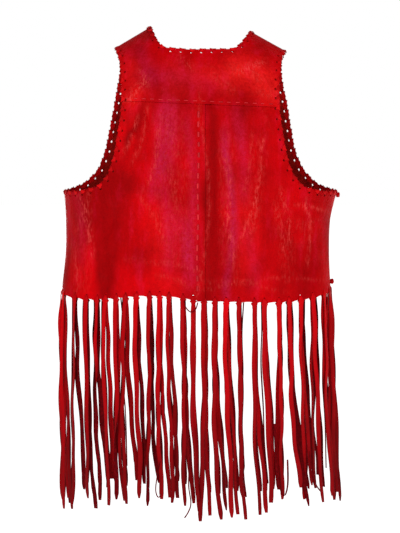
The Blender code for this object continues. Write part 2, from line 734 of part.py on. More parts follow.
class Fringe:
    """A narrow strip parted from the leather's edge, with pairs of thongs that hang from it."""

    def __init__(self, face, start, end):
        self.face = face
        self.start = start
        self.end = end
        self.mesh_data = bmesh.new()

    def column(self, along, arch=0.0):
        """The five corners of the strip's cross-section at one place."""
        point, _, outward = hem_frame(self.face, along)
        up = Vector((0, 0, 1))
        out = point + outward * STRIP_PROUD
        inside = point - outward * (LEATHER + STRIP_PROUD)
        middle = (out + inside) / 2
        corners = (out + up * STRIP_HEIGHT, inside + up * STRIP_HEIGHT, inside + up * arch,
                   middle + up * arch, out + up * arch)
        corners = [stay_on_side(corner, self.face) for corner in corners]
        return [self.mesh_data.verts.new(corner) for corner in corners]

    def strand(self, mouth, along, inward, sway, length, index):
        """Hangs one four-sided thong from a mouth of four strip corners.

        Thongs of neighbouring roots hang in two layers on either side of the leather, so that
        each one stands apart from all the others below its root.
        """
        _, ahead, outward = hem_frame(self.face, along)
        start = sum((corner.co for corner in mouth), Vector()) / 4
        depth = NEAR_LAYER + LAYER_STEP * (index % 2)
        depth = -depth if inward else depth
        sway_way = Vector((sway, 0, 0))
        phase = index * ROOT_PHASE + (INNER_PHASE if inward else 0.0)
        loop = mouth
        for cell in range(1, STRAND_CELLS + 1):
            share = cell / STRAND_CELLS
            drop = length * share
            centre = start + outward * depth * ease(drop / PARTING_LENGTH)
            centre += sway_way * share ** SWAY_POWER
            centre += ahead * WAVE_RISE * share * math.sin(phase + WAVE_ANGLE * share)
            centre.z -= drop
            turn = MOST_TURN * math.sin(phase * TURN_PHASE + TURN_ANGLE * share)
            flat = ahead * math.cos(turn) + outward * math.sin(turn)
            thick = outward * math.cos(turn) - ahead * math.sin(turn)
            width = THONG_WIDTH * (END_TAPER if cell == STRAND_CELLS else 1.0)
            half, deep = flat * width / 2, thick * THONG_THICK / 2
            following = [self.mesh_data.verts.new(corner) for corner in (
                centre - half + deep, centre + half + deep,
                centre + half - deep, centre - half - deep)]
            for k in range(4):
                self.mesh_data.faces.new((loop[k], loop[(k + 1) % 4],
                                          following[(k + 1) % 4], following[k]))
            loop = following
        self.mesh_data.faces.new(loop)

    def build(self, name, roots, material):
        """Makes the strip column by column, with its arches, and hangs the thongs."""
        half = THONG_WIDTH / 2
        columns = [(self.start, 0.0, None)]
        for number, root in enumerate(roots):
            if number:
                middle = (roots[number - 1].along + root.along) / 2
                columns.append((middle, ARCH_RISE, None))
            columns.append((root.along - half, 0.0, root))
            columns.append((root.along + half, 0.0, None))
        columns.append((self.end, 0.0, None))
        corners = [self.column(along, arch) for along, arch, _ in columns]
        new_face = self.mesh_data.faces.new
        number = 0
        for here, there, (along, _, root) in zip(corners, corners[1:], columns):
            new_face((here[0], there[0], there[4], here[4]))
            new_face((here[1], here[2], there[2], there[1]))
            new_face((here[0], here[1], there[1], there[0]))
            outer_mouth = (here[4], there[4], there[3], here[3])
            inner_mouth = (here[3], there[3], there[2], here[2])
            if root is None:
                new_face(outer_mouth)
                new_face(inner_mouth)
                continue
            self.strand(outer_mouth, root.along, False, root.outer_sway, root.outer_length, number)
            self.strand(inner_mouth, root.along, True, root.inner_sway, root.inner_length, number)
            number += 1
        new_face(corners[0][::-1])
        new_face(corners[-1])
        return add_object(name, self.mesh_data, material)


def half_girth():
    """Length of the form's quarter ring at the hem, from the middle to the side seam."""
    level = hem_line(-1, 0.0)
    points = [form_point(-1, i / GIRTH_STEPS, level) for i in range(GIRTH_STEPS + 1)]
    return sum((b - a).length for a, b in zip(points, points[1:]))


def front_roots(side, first, last):
    """Roots along one front: the back's own spacing on that side, a little wider apart."""
    back = BACK_RIGHT_ROOTS if side > 0 else BACK_LEFT_ROOTS
    spread = [root._replace(along=root.along * FRONT_SPREAD) for root in back]
    return [root for root in spread if first < side * root.along < last]


def build_fringes(material):
    side_end = half_girth() - SIDE_SLIT
    Fringe(-1, -side_end, -SEAM_GAP / 2).build("fringe_back_left", BACK_LEFT_ROOTS, material)
    Fringe(-1, SEAM_GAP / 2, side_end).build("fringe_back_right", BACK_RIGHT_ROOTS, material)
    _, _, shift = ring_at(hem_line(1, 0.0))
    for side, name in ((-1, "fringe_front_left"), (1, "fringe_front_right")):
        edge = abs(front_edge_x(side, hem_line(1, 0)) - shift)
        if side > 0 and front_edge_x(side, hem_line(1, 0)) < shift:
            edge = -edge
        roots = front_roots(side, edge + ROOT_MARGIN, side_end - ROOT_MARGIN)
        ends = sorted((side * edge, side * side_end))
        Fringe(1, ends[0], ends[1]).build(name, roots, material)


def knot(name, height, material):
    """A small pulled-tight thong knot against the outside of the right side seam."""
    mesh_data = bmesh.new()
    bmesh.ops.create_icosphere(mesh_data, subdivisions=1, radius=KNOT_RADIUS)
    for vertex in mesh_data.verts:
        vertex.co.z *= KNOT_STRETCH
    obj = add_object(name, mesh_data, material)
    obj.location = (side_x(1, height) + KNOT_RADIUS * KNOT_REACH + SEAM_GAP, 0, height)


def main():
    for obj in list(bpy.data.objects):
        bpy.data.objects.remove(obj, do_unlink=True)
    grain = leather_material("red_grain_leather", RED_GRAIN, 0.42)
    lacing = leather_material("red_lacing_thong", RED_LACE, 0.48)
    thongs = leather_material("red_fringe_thong", RED_FRINGE, 0.50)

    yoke = back_yoke()
    backs = {side: back_panel(side) for side in (-1, 1)}
    fronts = {side: front_panel(side) for side in (-1, 1)}
    yoke.build("back_yoke", grain)
    backs[-1].build("back_left", grain)
    backs[1].build("back_right", grain)
    fronts[-1].build("front_left", grain)
    fronts[1].build("front_right", grain)

    neck_lacing(yoke, fronts[-1], fronts[1], lacing)
    for side in (-1, 1):
        armhole_lacing(side, yoke, backs[side], fronts[side], lacing)
    build_fringes(thongs)
    for name, height in KNOT_HEIGHTS.items():
        knot(name, height, lacing)


main()
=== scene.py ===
"""Red leather vest with whip-laced edges and a long thong fringe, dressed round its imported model.

Metres, +Z up, and millimetres in the long tables. The back faces -Y, the fronts face +Y and +X is
the wearer's right. Every leather panel is laid on one torso form, and all that is sewn, laced or
knotted to it follows the same form.
"""

import logging
import math
from collections.abc import Callable
from dataclasses import dataclass, field
from enum import Enum

import bmesh
import bpy
import numpy as np
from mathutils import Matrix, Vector


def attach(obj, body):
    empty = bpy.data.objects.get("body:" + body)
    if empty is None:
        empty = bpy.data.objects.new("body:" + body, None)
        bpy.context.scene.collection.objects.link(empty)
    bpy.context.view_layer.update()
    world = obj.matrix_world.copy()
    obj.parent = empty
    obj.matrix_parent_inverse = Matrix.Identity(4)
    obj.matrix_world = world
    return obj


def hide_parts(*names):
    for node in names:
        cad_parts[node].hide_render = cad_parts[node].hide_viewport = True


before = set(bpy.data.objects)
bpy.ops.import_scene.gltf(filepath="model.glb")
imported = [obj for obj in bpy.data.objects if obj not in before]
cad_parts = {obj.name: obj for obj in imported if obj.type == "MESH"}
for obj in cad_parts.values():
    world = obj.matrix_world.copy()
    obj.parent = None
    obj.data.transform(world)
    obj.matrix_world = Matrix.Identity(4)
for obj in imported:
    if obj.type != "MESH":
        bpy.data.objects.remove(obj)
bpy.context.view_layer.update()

LOG = logging.getLogger("vest")
Array = np.ndarray
Points = list[tuple[float, float]]

# The hide, the gaps at its seams, the laps, and how many grid cells a cell of the pattern holds
LEATHER = 0.0015
SEAM_GAP = 0.0003
TOUCHING = 0.00001
LAP_OVER = 0.007
LAP_UNDER = 0.006
LAP_SHOULDER = 0.030
FINER = 6


class Face(Enum):
    """The two faces of the vest, by the sign of their Y."""

    BACK = -1
    FRONT = 1


class Side(Enum):
    """The wearer's sides, by the sign of their X."""

    LEFT = -1
    RIGHT = 1


class Mark(Enum):
    """What wear and painted light and shade leave on the grain, by the name of the attribute that
    carries it.
    """

    HOLLOW = "hollow"
    SHEEN = "sheen"
    SCUFF = "scuff"
    FRESH = "fresh"


def metres(rows: tuple, plain: int = 0) -> Array:
    """Turns a table in millimetres into metres.

    Args:
        rows: the table.
        plain: how many of its last columns are no lengths and stay as they are.

    Returns:
        The table as an array.
    """
    array = np.array(rows, float)
    array[:, :array.shape[1] - plain] /= 1000
    return array


def table(*rows: tuple) -> Array:
    """A dataclass field that holds a table in millimetres."""
    return field(default_factory=lambda: metres(rows))


def by_face(back: tuple, front: tuple) -> dict[Face, Array]:
    """A dataclass field that holds a table in millimetres for each face."""
    return field(default_factory=lambda: {Face.BACK: metres(back), Face.FRONT: metres(front)})


def linear(code: str) -> tuple[float, float, float, float]:
    """Turns an sRGB hex code into a linear colour.

    Args:
        code: six hex digits, such as "c4060f".

    Returns:
        Red, green, blue and alpha, linear.
    """
    parts = [int(code[i:i + 2], 16) / 255 for i in (0, 2, 4)]
    return (*(c / 12.92 if c <= 0.04045 else ((c + 0.055) / 1.055) ** 2.4 for c in parts), 1.0)


def blend(start: float, end: float, share: float) -> float:
    """Goes from start to end by a share."""
    return start + (end - start) * share


def ease(share: Array) -> Array:
    """A soft step from 0 to 1."""
    share = np.clip(share, 0.0, 1.0)
    return share * share * (3 - 2 * share)


def fade(share: Array, speed: float) -> Array:
    """Rises from 0 at both ends of a share to 1, sooner at a higher speed."""
    return ease(np.minimum(share, 1 - share) * speed)


def unit(ways: Array) -> Array:
    """Directions made one long, one a row."""
    return ways / np.linalg.norm(ways, axis=-1, keepdims=True)


def walk(line: Array) -> Array:
    """Distance walked at each point of a line."""
    return np.concatenate([[0], np.cumsum(np.linalg.norm(np.diff(line, axis=0), axis=1))])


def pick(where: Array, keys: Array, rows: Array) -> Array:
    """Rows read between the rows of a table, by its rising keys."""
    return np.stack([np.interp(where, keys, column) for column in rows.T], -1)


def read_smooth(rows: Array, column: int, at: Array) -> Array:
    """Reads one column of a table over its first column, as a cubic through the rows.

    Args:
        rows: the table, its first column rising.
        column: which column is read.
        at: where it is read.

    Returns:
        The values there.
    """
    keys, values = rows[:, 0], rows[:, column]
    slopes = np.empty_like(values)
    slopes[1:-1] = (values[2:] - values[:-2]) / (keys[2:] - keys[:-2])
    slopes[0] = (values[1] - values[0]) / (keys[1] - keys[0])
    slopes[-1] = (values[-1] - values[-2]) / (keys[-1] - keys[-2])
    spot = np.clip(np.searchsorted(keys, at, side="right") - 1, 0, len(keys) - 2)
    width = keys[spot + 1] - keys[spot]
    t = np.clip((at - keys[spot]) / width, 0.0, 1.0)
    rise = values[spot + 1] - values[spot]
    start, end = slopes[spot] * width - rise, rise - slopes[spot + 1] * width
    return values[spot] + t * rise + t * (1 - t) * (start * (1 - t) + end * t)


def resample(line: Points, cells: int, closeness: float = 1.0) -> Points:
    """Points along a line, both ends included.

    Args:
        line: the points of the line.
        cells: how many cells it is cut into.
        closeness: over 1 sets the last points closer together.

    Returns:
        The new points.
    """
    array = np.array(line)
    walked = walk(array)
    wanted = walked[-1] * (1 - (1 - np.arange(cells + 1) / cells) ** closeness)
    return [tuple(row) for row in pick(wanted, walked, array)]


def smooth_path(points: Points, cells: int, closeness: float = 1.0, steps: int = 24) -> Points:
    """A smooth curve through points, cut into cells.

    Args:
        points: what the curve goes through.
        cells: how many cells it is cut into.
        closeness: over 1 sets the last points closer together.
        steps: how finely each span is read.

    Returns:
        The points of the curve.
    """
    p = np.array(points)
    fine = []
    for i in range(len(p) - 1):
        a, b, c, d = p[max(i - 1, 0)], p[i], p[i + 1], p[min(i + 2, len(p) - 1)]
        for t in np.arange(steps) / steps:
            fine.append(0.5 * (2 * b + (c - a) * t + (2 * a - 5 * b + 4 * c - d) * t * t
                               + (3 * b - a - 3 * c + d) * t ** 3))
    return resample([*fine, p[-1]], cells, closeness)


def beside_line(line: list[float], bow: float, x: Array,
                height: Array) -> tuple[Array, Array, float]:
    """Where points lie beside a slightly bowed line.

    Args:
        line: X and height of the line's start and of its end.
        bow: how far it bows, as a share of its length.
        x: the points' X.
        height: the points' height.

    Returns:
        How far along it and across it they lie, and its length.
    """
    x0, z0, x1, z1 = line
    length = math.hypot(x1 - x0, z1 - z0)
    way = ((x1 - x0) / length, (z1 - z0) / length)
    along = (x - x0) * way[0] + (height - z0) * way[1]
    bowed = bow * length * np.sin(np.pi * np.clip(along / length, 0, 1))
    return along, (x - x0) * way[1] - (height - z0) * way[0] + bowed, length


def keep_on_face(point: Array, face: Face) -> Array:
    """Keeps points on their own side of the side and shoulder seams."""
    point[..., 1] = face.value * np.maximum(point[..., 1] * face.value, TOUCHING)
    return point


@dataclass
class TorsoForm:
    """The filled-out form under the leather: rings, shoulders, folds and creases."""

    roundness: float = 2.4
    shoulder_rise: float = 0.125
    shoulder_hold: float = 0.030
    side_hold_power: int = 6
    fold_fade: float = 3.0
    crease_fade: float = 2.6
    crease_bow: float = 0.10
    ripple_rise: float = 0.00048
    ripple_waves: tuple[float, ...] = (0.083, 0.061, 0.047, 0.036, 0.027, 0.021)
    middle_wave: float = 0.047
    round_step: float = 0.004
    up_step: float = -0.0006
    # Height, half width, half depth, shift
    rings: Array = table(
        (-425, 219.5, 108, -6.5), (-388, 216.1, 106, -6.5), (-340, 212.7, 105, -5),
        (-291, 213.3, 108, -4), (-259, 217.5, 111.5, -1.5), (-241, 220, 113, 0),
        (-190, 209, 113, -1.2), (-110, 190, 110, -1.2), (-40, 182, 100, 0), (25, 176, 95, 0))
    # X, height
    shoulder_line: Array = table(
        (-180, -40), (-137, -13.8), (-80, 19.8), (80, 12.6), (137, -18.9), (180, -43))
    # X at the top, X at the bottom, top, bottom, half width, rise
    folds: dict[Face, Array] = by_face(back=(
        (14, 17, -112, -430, 10, -4), (38, 36, -120, -385, 13, 2.8),
        (-46, -36, -100, -370, 22, 3.5), (-94, -88, -95, -220, 12, -3),
        (-146, -156, -225, -430, 16, -5), (-186, -180, -250, -415, 13, 3),
        (98, 74, -140, -330, 10, 3.2), (126, 142, -225, -400, 10, 3.4),
        (168, 160, -345, -430, 12, -4), (108, 70, -330, -410, 12, -2.6)), front=(
        (-60, -50, -150, -400, 18, 3.6), (-98, -104, -110, -330, 13, -3.6),
        (-150, -148, -250, -425, 15, -4.4), (46, 60, -180, -425, 14, -3.6),
        (86, 96, -120, -360, 18, 3.4), (130, 146, -230, -430, 14, 3),
        (172, 166, -270, -420, 11, -3.4)))
    # Start X, start height, end X, end height, half width, rise
    creases: dict[Face, Array] = by_face(back=(
        (150, -256, 196, -266, 3, -1.2), (158, -248, 166, -280, 3.5, 1.3),
        (172, -290, 205, -296, 3.5, -1), (152, -275, 157, -340, 4.5, 1.5),
        (128, -290, 150, -305, 3.5, -1.1), (-146, -250, -150, -320, 6, -1.8),
        (-190, -260, -164, -286, 3.2, 1.2), (-172, -270, -150, -262, 3, -1),
        (-82, -104, -118, -156, 4, -1.6), (-70, -108, -101, -170, 3.6, 1.4),
        (-104, -112, -112, -196, 3.4, -1.2), (92, -106, 110, -164, 4, 1.3),
        (104, -112, 96, -190, 3.6, -1.2), (20, -370, 60, -379, 3.4, -1),
        (-52, -364, -10, -372, 3.6, -1), (52, -330, 46, -400, 5, 1.4),
        (-128, -350, -92, -356, 3.8, 0.9), (-112, -52, -90, -84, 3.6, -1.1),
        (66, -40, 104, -52, 3.6, 1), (104, -56, 114, -90, 3.6, -1), (0, -46, 36, -56, 4, 0.8),
        (-200, -345, -186, -395, 4.5, -1.2), (186, -330, 196, -385, 4.5, 1.2)), front=(
        (-196, -262, -150, -254, 3.2, -1.2), (-176, -280, -160, -330, 4.2, 1.3),
        (-120, -130, -138, -186, 4, -1.3), (-104, -50, -118, -104, 4, 1.2),
        (-80, -300, -40, -312, 3.6, -0.9), (150, -254, 190, -268, 3.2, -1.2),
        (158, -276, 172, -330, 4.4, 1.3), (118, -120, 134, -182, 4, 1.3),
        (98, -46, 120, -96, 4, -1.2), (60, -230, 90, -290, 4.6, -1.2),
        (30, -340, 70, -346, 3.6, 0.9), (-200, -350, -180, -390, 4.5, 1.1)))

    def ring(self, height: Array) -> tuple[Array, Array, Array]:
        """Half width, half depth and shift of the form at heights."""
        return tuple(read_smooth(self.rings, column, height) for column in (1, 2, 3))

    def wrap(self, x: Array, height: Array) -> Array:
        """How far round the form x lies: 0 in the middle, 1 or -1 on the side seam."""
        half_width, _, shift = self.ring(np.asarray(height, float))
        return np.arcsin(np.clip((x - shift) / half_width, -1, 1)) * 2 / np.pi

    def side_x(self, side: Side, height: float) -> float:
        """X of a side seam at a height."""
        half_width, _, shift = self.ring(np.array(height))
        return float(shift + side.value * half_width)

    def shoulder_height(self, x: Array) -> Array:
        """Height of the shoulder line over x."""
        return np.interp(x, *self.shoulder_line.T)

    def bare(self, face: Face, wrap: Array, height: Array) -> Array:
        """Points of the bare form.

        Args:
            face: back or front.
            wrap: how far round.
            height: how high.

        Returns:
            One point a row.
        """
        half_width, half_depth, shift = self.ring(height)
        reach = np.sin(wrap * np.pi / 2)
        x = shift + half_width * reach
        inner = np.maximum(1 - np.abs(reach) ** self.roundness, 0)
        depth = half_depth * inner ** (1 / self.roundness)
        below = np.clip((self.shoulder_height(x) - height) / self.shoulder_rise, 0, 1)
        depth = depth * np.sqrt(1 - (1 - below) ** 2)
        return np.stack([x, face.value * np.maximum(depth, TOUCHING), height], -1)

    def normal(self, face: Face, wrap: Array, height: Array) -> Array:
        """Outward directions of the form, from its slopes round and up."""
        round_step = np.where(wrap < 0, self.round_step, -self.round_step)
        here = self.bare(face, wrap, height)
        around = (self.bare(face, wrap + round_step, height) - here) / round_step[..., None]
        up = (self.bare(face, wrap, height + self.up_step) - here) / self.up_step
        normal = unit(np.cross(around, up))
        from_middle = here * (1, 2, 0) + (0, 0, self.shoulder_rise / 6)
        sign = np.where((normal * from_middle).sum(-1, keepdims=True) > 0, 1, -1)
        return normal * sign

    def fold_rise(self, face: Face, x: Array, height: Array) -> Array:
        """How far the folds lift the leather, sinking where they are troughs."""
        total = np.zeros_like(x)
        for x_top, x_bottom, top, bottom, half, rise in self.folds[face]:
            along = (top - height) / (top - bottom)
            across = (x - blend(x_top, x_bottom, along)) / half
            total += rise * fade(along, self.fold_fade) * np.exp(-across * across)
        return total

    def crease_rise(self, face: Face, x: Array, height: Array) -> Array:
        """How far the short creases lift the leather."""
        total = np.zeros_like(x)
        for *line, half, rise in self.creases[face]:
            along, across, length = beside_line(line, self.crease_bow, x, height)
            total += rise * fade(along / length, self.crease_fade) * np.exp(-(across / half) ** 2)
        return total

    def ripple(self, face: Face, x: Array, height: Array) -> Array:
        """A soft unevenness all over, as tanned leather has: waves that each run their own way."""
        total = np.zeros_like(x)
        turn = 1.7 * face.value
        for number, wave in enumerate(self.ripple_waves):
            angle = number * 2.4 + turn
            slow = 0.8 * np.sin(height * 31 + number + turn)
            total += wave / self.middle_wave * np.sin(
                2 * np.pi / wave * (x * math.cos(angle) + height * math.sin(angle))
                + slow + number * 1.9)
        return total * self.ripple_rise

    def leather(self, face: Face, wrap: Array, height: Array,
                extra: Array | float = 0.0) -> tuple[Array, Array]:
        """Points on the leather's outer side and the outward directions there."""
        normal = self.normal(face, wrap, height)
        point = self.bare(face, wrap, height)
        hold = 1 - np.abs(np.sin(wrap * np.pi / 2)) ** self.side_hold_power
        x = point[..., 0]
        seam = ease((self.shoulder_height(x) - height) / self.shoulder_hold)
        rise = (self.fold_rise(face, x, height) + (self.crease_rise(face, x, height)
                + self.ripple(face, x, height)) * seam) * hold + extra
        return keep_on_face(point + normal * rise[..., None], face), normal


@dataclass
class WearAndLightMarks:
    """Wear and painted light on the grain: drawn lines, and the folds' hollows and ridges."""

    form: TorsoForm
    bow: float = 0.06
    run_out: float = 0.10
    crease_weight: float = 1.4
    full_rise: float = 0.0060
    most_hollow: float = 0.60
    most_scuff: float = 0.12
    # Start X, start height, end X, end height, half width, strength
    drawn: dict[Face, dict[Mark, tuple]] = field(default_factory=lambda: {
        Face.BACK: {
            # Painted shade in hollows, with some dye there; the first two paint the shadow beside
            # the lap
            Mark.HOLLOW: (
                (15, -112, 13, -256, 9.4, 0.95), (13, -248, 12, -412, 10.1, 0.95),
                (-92, -109, -115, -159, 6.2, 0.6), (-114, -131, -123, -201, 4.7, 0.45),
                (-151, -264, -145, -412, 11.7, 0.62), (-129, -248, -117, -303, 7.8, 0.35),
                (-164, -342, -156, -409, 7.8, 0.45), (181, -342, 175, -409, 15.6, 0.5),
                (106, -256, 96, -342, 7.8, 0.28), (129, -264, 132, -311, 7.8, 0.3),
                (-76, -109, -79, -147, 3.9, 0.35), (-23, -61, -27, -97, 9.4, 0.25),
                (-118, -40, -114, -84, 5.5, 0.25), (46, -358, 70, -400, 14, 0.28),
                (88, -150, 98, -212, 12, 0.3), (-47, -205, -45, -243, 12, 0.45)),
            # A painted glow, broad patches of painted highlight
            Mark.FRESH: (
                (66, -50, 112, -80, 24, 0.75), (-28, -62, 30, -70, 20, 0.34),
                (-112, -50, -106, -94, 16, 0.3), (62, -250, 70, -360, 20, 0.16),
                (-62, -300, -50, -390, 30, 0.14)),
            # Painted sheen in upright streaks
            Mark.SHEEN: (
                (-52, -119, -58, -205, 13, 0.72), (-58, -245, -50, -353, 10.9, 0.42),
                (-20, -144, -23, -334, 7.8, 0.45), (38, -178, 40, -389, 6.2, 0.85),
                (-68, -131, -76, -240, 7.8, 0.4), (-29, -295, -16, -373, 12.5, 0.45),
                (-79, -61, 7, -72, 14, 0.35), (56, -131, 67, -240, 9.4, 0.4),
                (-95, -22, -79, -61, 12.5, 0.25), (-197, -256, -189, -342, 9.4, 0.25),
                (74, -311, 81, -389, 9.4, 0.3)),
            # Pale scuffs, partly painted highlight
            Mark.SCUFF: (
                (-107, -89, -89, -72, 6.2, 0.85), (-120, -98, -101, -101, 3.1, 0.8),
                (-95, -53, -85, -75, 4.7, 0.45), (62, -54, 96, -40, 5, 0.8),
                (54, -47, 90, -62, 7, 0.45), (96, -87, 131, -97, 7.8, 0.35),
                (96, -170, 62, -319, 2.5, 0.6), (79, -162, 68, -240, 2.8, 0.45),
                (87, -240, 78, -311, 3.4, 0.4), (128, -248, 140, -326, 2.7, 0.75),
                (118, -272, 131, -334, 3.1, 0.4), (156, -264, 197, -275, 2.8, 0.7),
                (168, -265, 170, -347, 2.8, 0.75), (156, -297, 184, -289, 2.3, 0.45),
                (-194, -248, -173, -334, 4.7, 0.55), (-176, -240, -192, -297, 3.4, 0.4),
                (-205, -334, -198, -397, 4.7, 0.3), (-101, -131, -120, -178, 3.1, 0.65),
                (-85, -119, -106, -194, 2.8, 0.5), (-67, -147, -85, -233, 3.4, 0.45),
                (-56, -131, -38, -178, 5.5, 0.22), (-48, -217, -38, -264, 5.5, 0.22),
                (37, -194, 43, -280, 4.1, 0.55), (40, -295, 51, -353, 3.7, 0.45),
                (-79, -353, -7, -366, 3.1, 0.4), (-63, -375, -23, -387, 3.1, 0.4),
                (18, -394, 203, -387, 2.5, 0.35), (9, -384, 125, -400, 2.5, 0.3),
                (-90, -256, -63, -311, 4.7, 0.28), (-2, -115, -6, -406, 2.5, 0.45),
                (-32, -31, -16, -47, 6.2, 0.3), (21, -62, 49, -81, 6.2, 0.28))},
        Face.FRONT: {
            # Painted shade in hollows, with some dye there
            Mark.HOLLOW: (
                (30, -102, 28, -246, 9.4, 0.62), (-78, -93, -101, -143, 6.2, 0.6),
                (149, -247, 143, -395, 11.7, 0.62), (-140, -366, -132, -433, 7.8, 0.45),
                (-121, -259, -111, -345, 7.8, 0.28), (-105, -128, -108, -166, 3.9, 0.35),
                (143, -32, 139, -76, 5.5, 0.25)),
            # A painted glow, broad patches of painted highlight
            Mark.FRESH: (
                (-62, -60, -100, -90, 22, 0.7), (70, -290, 60, -380, 26, 0.35)),
            # Painted sheen in upright streaks
            Mark.SHEEN: (
                (63, -142, 69, -263, 14, 0.8), (-42, -174, -45, -364, 7.8, 0.45),
                (-85, -150, -93, -259, 7.8, 0.4), (-57, -77, 29, -88, 14, 0.35),
                (-93, -18, -77, -57, 12.5, 0.25), (-48, -306, -55, -384, 9.4, 0.3)),
            # Pale scuffs, partly painted highlight
            Mark.SCUFF: (
                (-96, -113, -77, -116, 3.1, 0.8), (-82, -77, -116, -63, 5, 0.8),
                (-108, -87, -143, -97, 7.8, 0.35), (-68, -175, -57, -253, 2.8, 0.45),
                (-109, -254, -121, -332, 2.7, 0.75), (-157, -259, -198, -270, 2.8, 0.7),
                (-127, -326, -155, -318, 2.3, 0.45), (-155, -269, -171, -326, 3.4, 0.4),
                (-109, -132, -128, -179, 3.1, 0.65), (40, -168, 58, -254, 3.4, 0.45),
                (-66, -209, -56, -256, 5.5, 0.4), (67, -308, 78, -366, 3.7, 0.45),
                (64, -366, 24, -378, 3.1, 0.4), (6, -374, -110, -390, 2.5, 0.3),
                (-30, -98, -34, -389, 2.5, 0.45), (-31, -61, -59, -80, 6.2, 0.28))}})

    def read(self, face: Face, points: Array) -> dict[str, Array]:
        """How strong each mark is at points of one face, by the name of its attribute."""
        x, z = points[:, 0], points[:, 2]
        rise = self.form.fold_rise(face, x, z)
        rise = (rise + self.crease_weight * self.form.crease_rise(face, x, z)) / self.full_rise
        totals = {kind: np.zeros(len(points)) for kind in Mark}
        # The folds' troughs take painted shade, with some dye gathered there
        totals[Mark.HOLLOW] += np.clip(-rise, 0, self.most_hollow)
        # Their crests are painted paler: rubbed wear and painted highlight
        totals[Mark.SCUFF] += np.clip(rise, 0, self.most_scuff)
        for kind, rows in self.drawn[face].items():
            for *line, half, strength in metres(rows, plain=1):
                along, across, length = beside_line(line, self.bow, x, z)
                beyond = np.maximum(np.maximum(-along, along - length), 0)
                beyond /= half + self.run_out * length
                totals[kind] += strength * np.exp(-(across / half) ** 2 - beyond ** 2)
        return {kind.value: np.clip(total, 0, 1) for kind, total in totals.items()}


@dataclass
class HemLine:
    """The lowest line of the leather, its thong roots and the arches between them."""

    form: TorsoForm
    arch_rise: float = 0.0024
    arch_power: float = 0.6
    hole_above: float = 0.0085
    front_spread: float = 1.06
    hem_steps: int = 1601
    front_reach: tuple[float, float, float] = (0.0220, 0.0050, 0.2625)
    # X, height
    marks: dict[Face, Array] = by_face(back=(
        (-225, -411), (-170, -415), (-95, -408.5), (-50, -408.5), (0, -415), (80, -418),
        (125, -418.5), (170, -414), (215, -404.5)), front=(
        (-225, -411), (-120, -417), (-30, -413), (60, -414), (150, -416), (215, -404.5)))
    # Along the hem, sway and length of the outer thong, then of the inner one
    back_left: Array = table(
        (-259.5, 3, 334, 6, 331), (-238, 3, 344, 7, 345), (-203, -5, 332, 16, 307),
        (-180, 8, 317, 12, 334), (-161, 5, 318, 12, 290), (-146, 6, 326, 11, 285),
        (-128, 5, 318, 10, 321), (-113, 2, 325, 12, 290), (-95, 6, 318, 14, 296),
        (-74, 2, 330, 10, 296), (-58, 3, 320, 10, 318), (-43, 6, 324, 15, 319),
        (-21, 7, 327, 15, 324), (-5, 7, 313, 4, 335))
    back_right: Array = table(
        (12, 0, 347, 9, 339), (29, 8, 343, 14, 331), (47, 9, 340, 20, 336), (67, 10, 306, 10, 345),
        (92, 8, 335, 16, 333), (108, 10, 315, 19, 296), (132, 9, 311, -1, 297),
        (149, 15, 294, 30, 326), (171, 4, 317, 22, 295), (193, 17, 326, 8, 305),
        (220, 11, 324, 19, 329), (241.5, 9, 323, 12, 336), (262, 14, 334, 18, 342))

    def height(self, face: Face, x: Array) -> Array:
        """Height of the hem over x."""
        return read_smooth(self.marks[face], 1, np.asarray(x, float))

    def roots(self, face: Face, side: Side) -> list[tuple]:
        """The thong roots of one panel, left to right, each row with its number at the end."""
        rows = [(*row, number) for number, row in
                enumerate(self.back_left if side is Side.LEFT else self.back_right)]
        if face is Face.BACK:
            return rows
        left_first, right_first, last = self.front_reach
        first = left_first if side is Side.LEFT else right_first
        wide = [(row[0] * self.front_spread, *row[1:]) for row in rows]
        return [row for row in wide if first < side.value * row[0] < last]

    def wrap_at(self, face: Face, along: Array) -> Array:
        """How far round the form a distance along the hem is."""
        steps = np.linspace(0, 1, self.hem_steps)
        level = np.full_like(steps, float(self.height(face, 0.0)))
        along = np.asarray(along, float)
        return np.sign(along) * np.interp(np.abs(along), walk(self.form.bare(face, steps, level)),
                                          steps)

    def frame(self, face: Face, along: float, above: float = 0.0) -> tuple[Array, Array, Array]:
        """The hem at a distance from the middle.

        Args:
            face: back or front.
            along: the distance along the hem from the middle.
            above: how far above the hem line.

        Returns:
            The point on the leather, the level way along and the level way out.
        """
        wrap = np.array([float(self.wrap_at(face, along))])
        level = np.array([float(self.height(face, 0.0))])
        x = self.form.bare(face, wrap, level)[0, 0]
        point, normal = self.form.leather(face, wrap, self.height(face, np.array([x])) + above)
        out = unit(normal[0] * (1, 1, 0))
        return point[0], np.cross((0, 0, 1), out) * -face.value, out

    def arch(self, face: Face, side: Side, wrap: Array) -> Array:
        """How far the cut edge is drawn up between two roots."""
        spots = np.sort(self.wrap_at(face, [row[0] for row in self.roots(face, side)]))
        spots = np.concatenate([[2 * spots[0] - spots[1]], spots, [2 * spots[-1] - spots[-2]]])
        cell = np.clip(np.searchsorted(spots, wrap, side="right") - 1, 0, len(spots) - 2)
        t = np.clip((wrap - spots[cell]) / (spots[cell + 1] - spots[cell]), 0, 1)
        return self.arch_rise * np.sin(np.pi * t) ** self.arch_power


@dataclass
class Patch:
    """Four edges of (x, height) points that one part of a panel lies between."""

    bottom: Points
    top: Points
    inner: Points
    outer: Points


def only(obj: bpy.types.Object) -> None:
    """Selects one object alone and makes it active."""
    bpy.ops.object.select_all(action="DESELECT")
    obj.select_set(True)
    bpy.context.view_layer.objects.active = obj


def smooth_by_angle(obj: bpy.types.Object, degrees: float) -> None:
    """Shades an object smooth but for its sharp edges."""
    only(obj)
    bpy.ops.object.shade_smooth_by_angle(angle=math.radians(degrees))


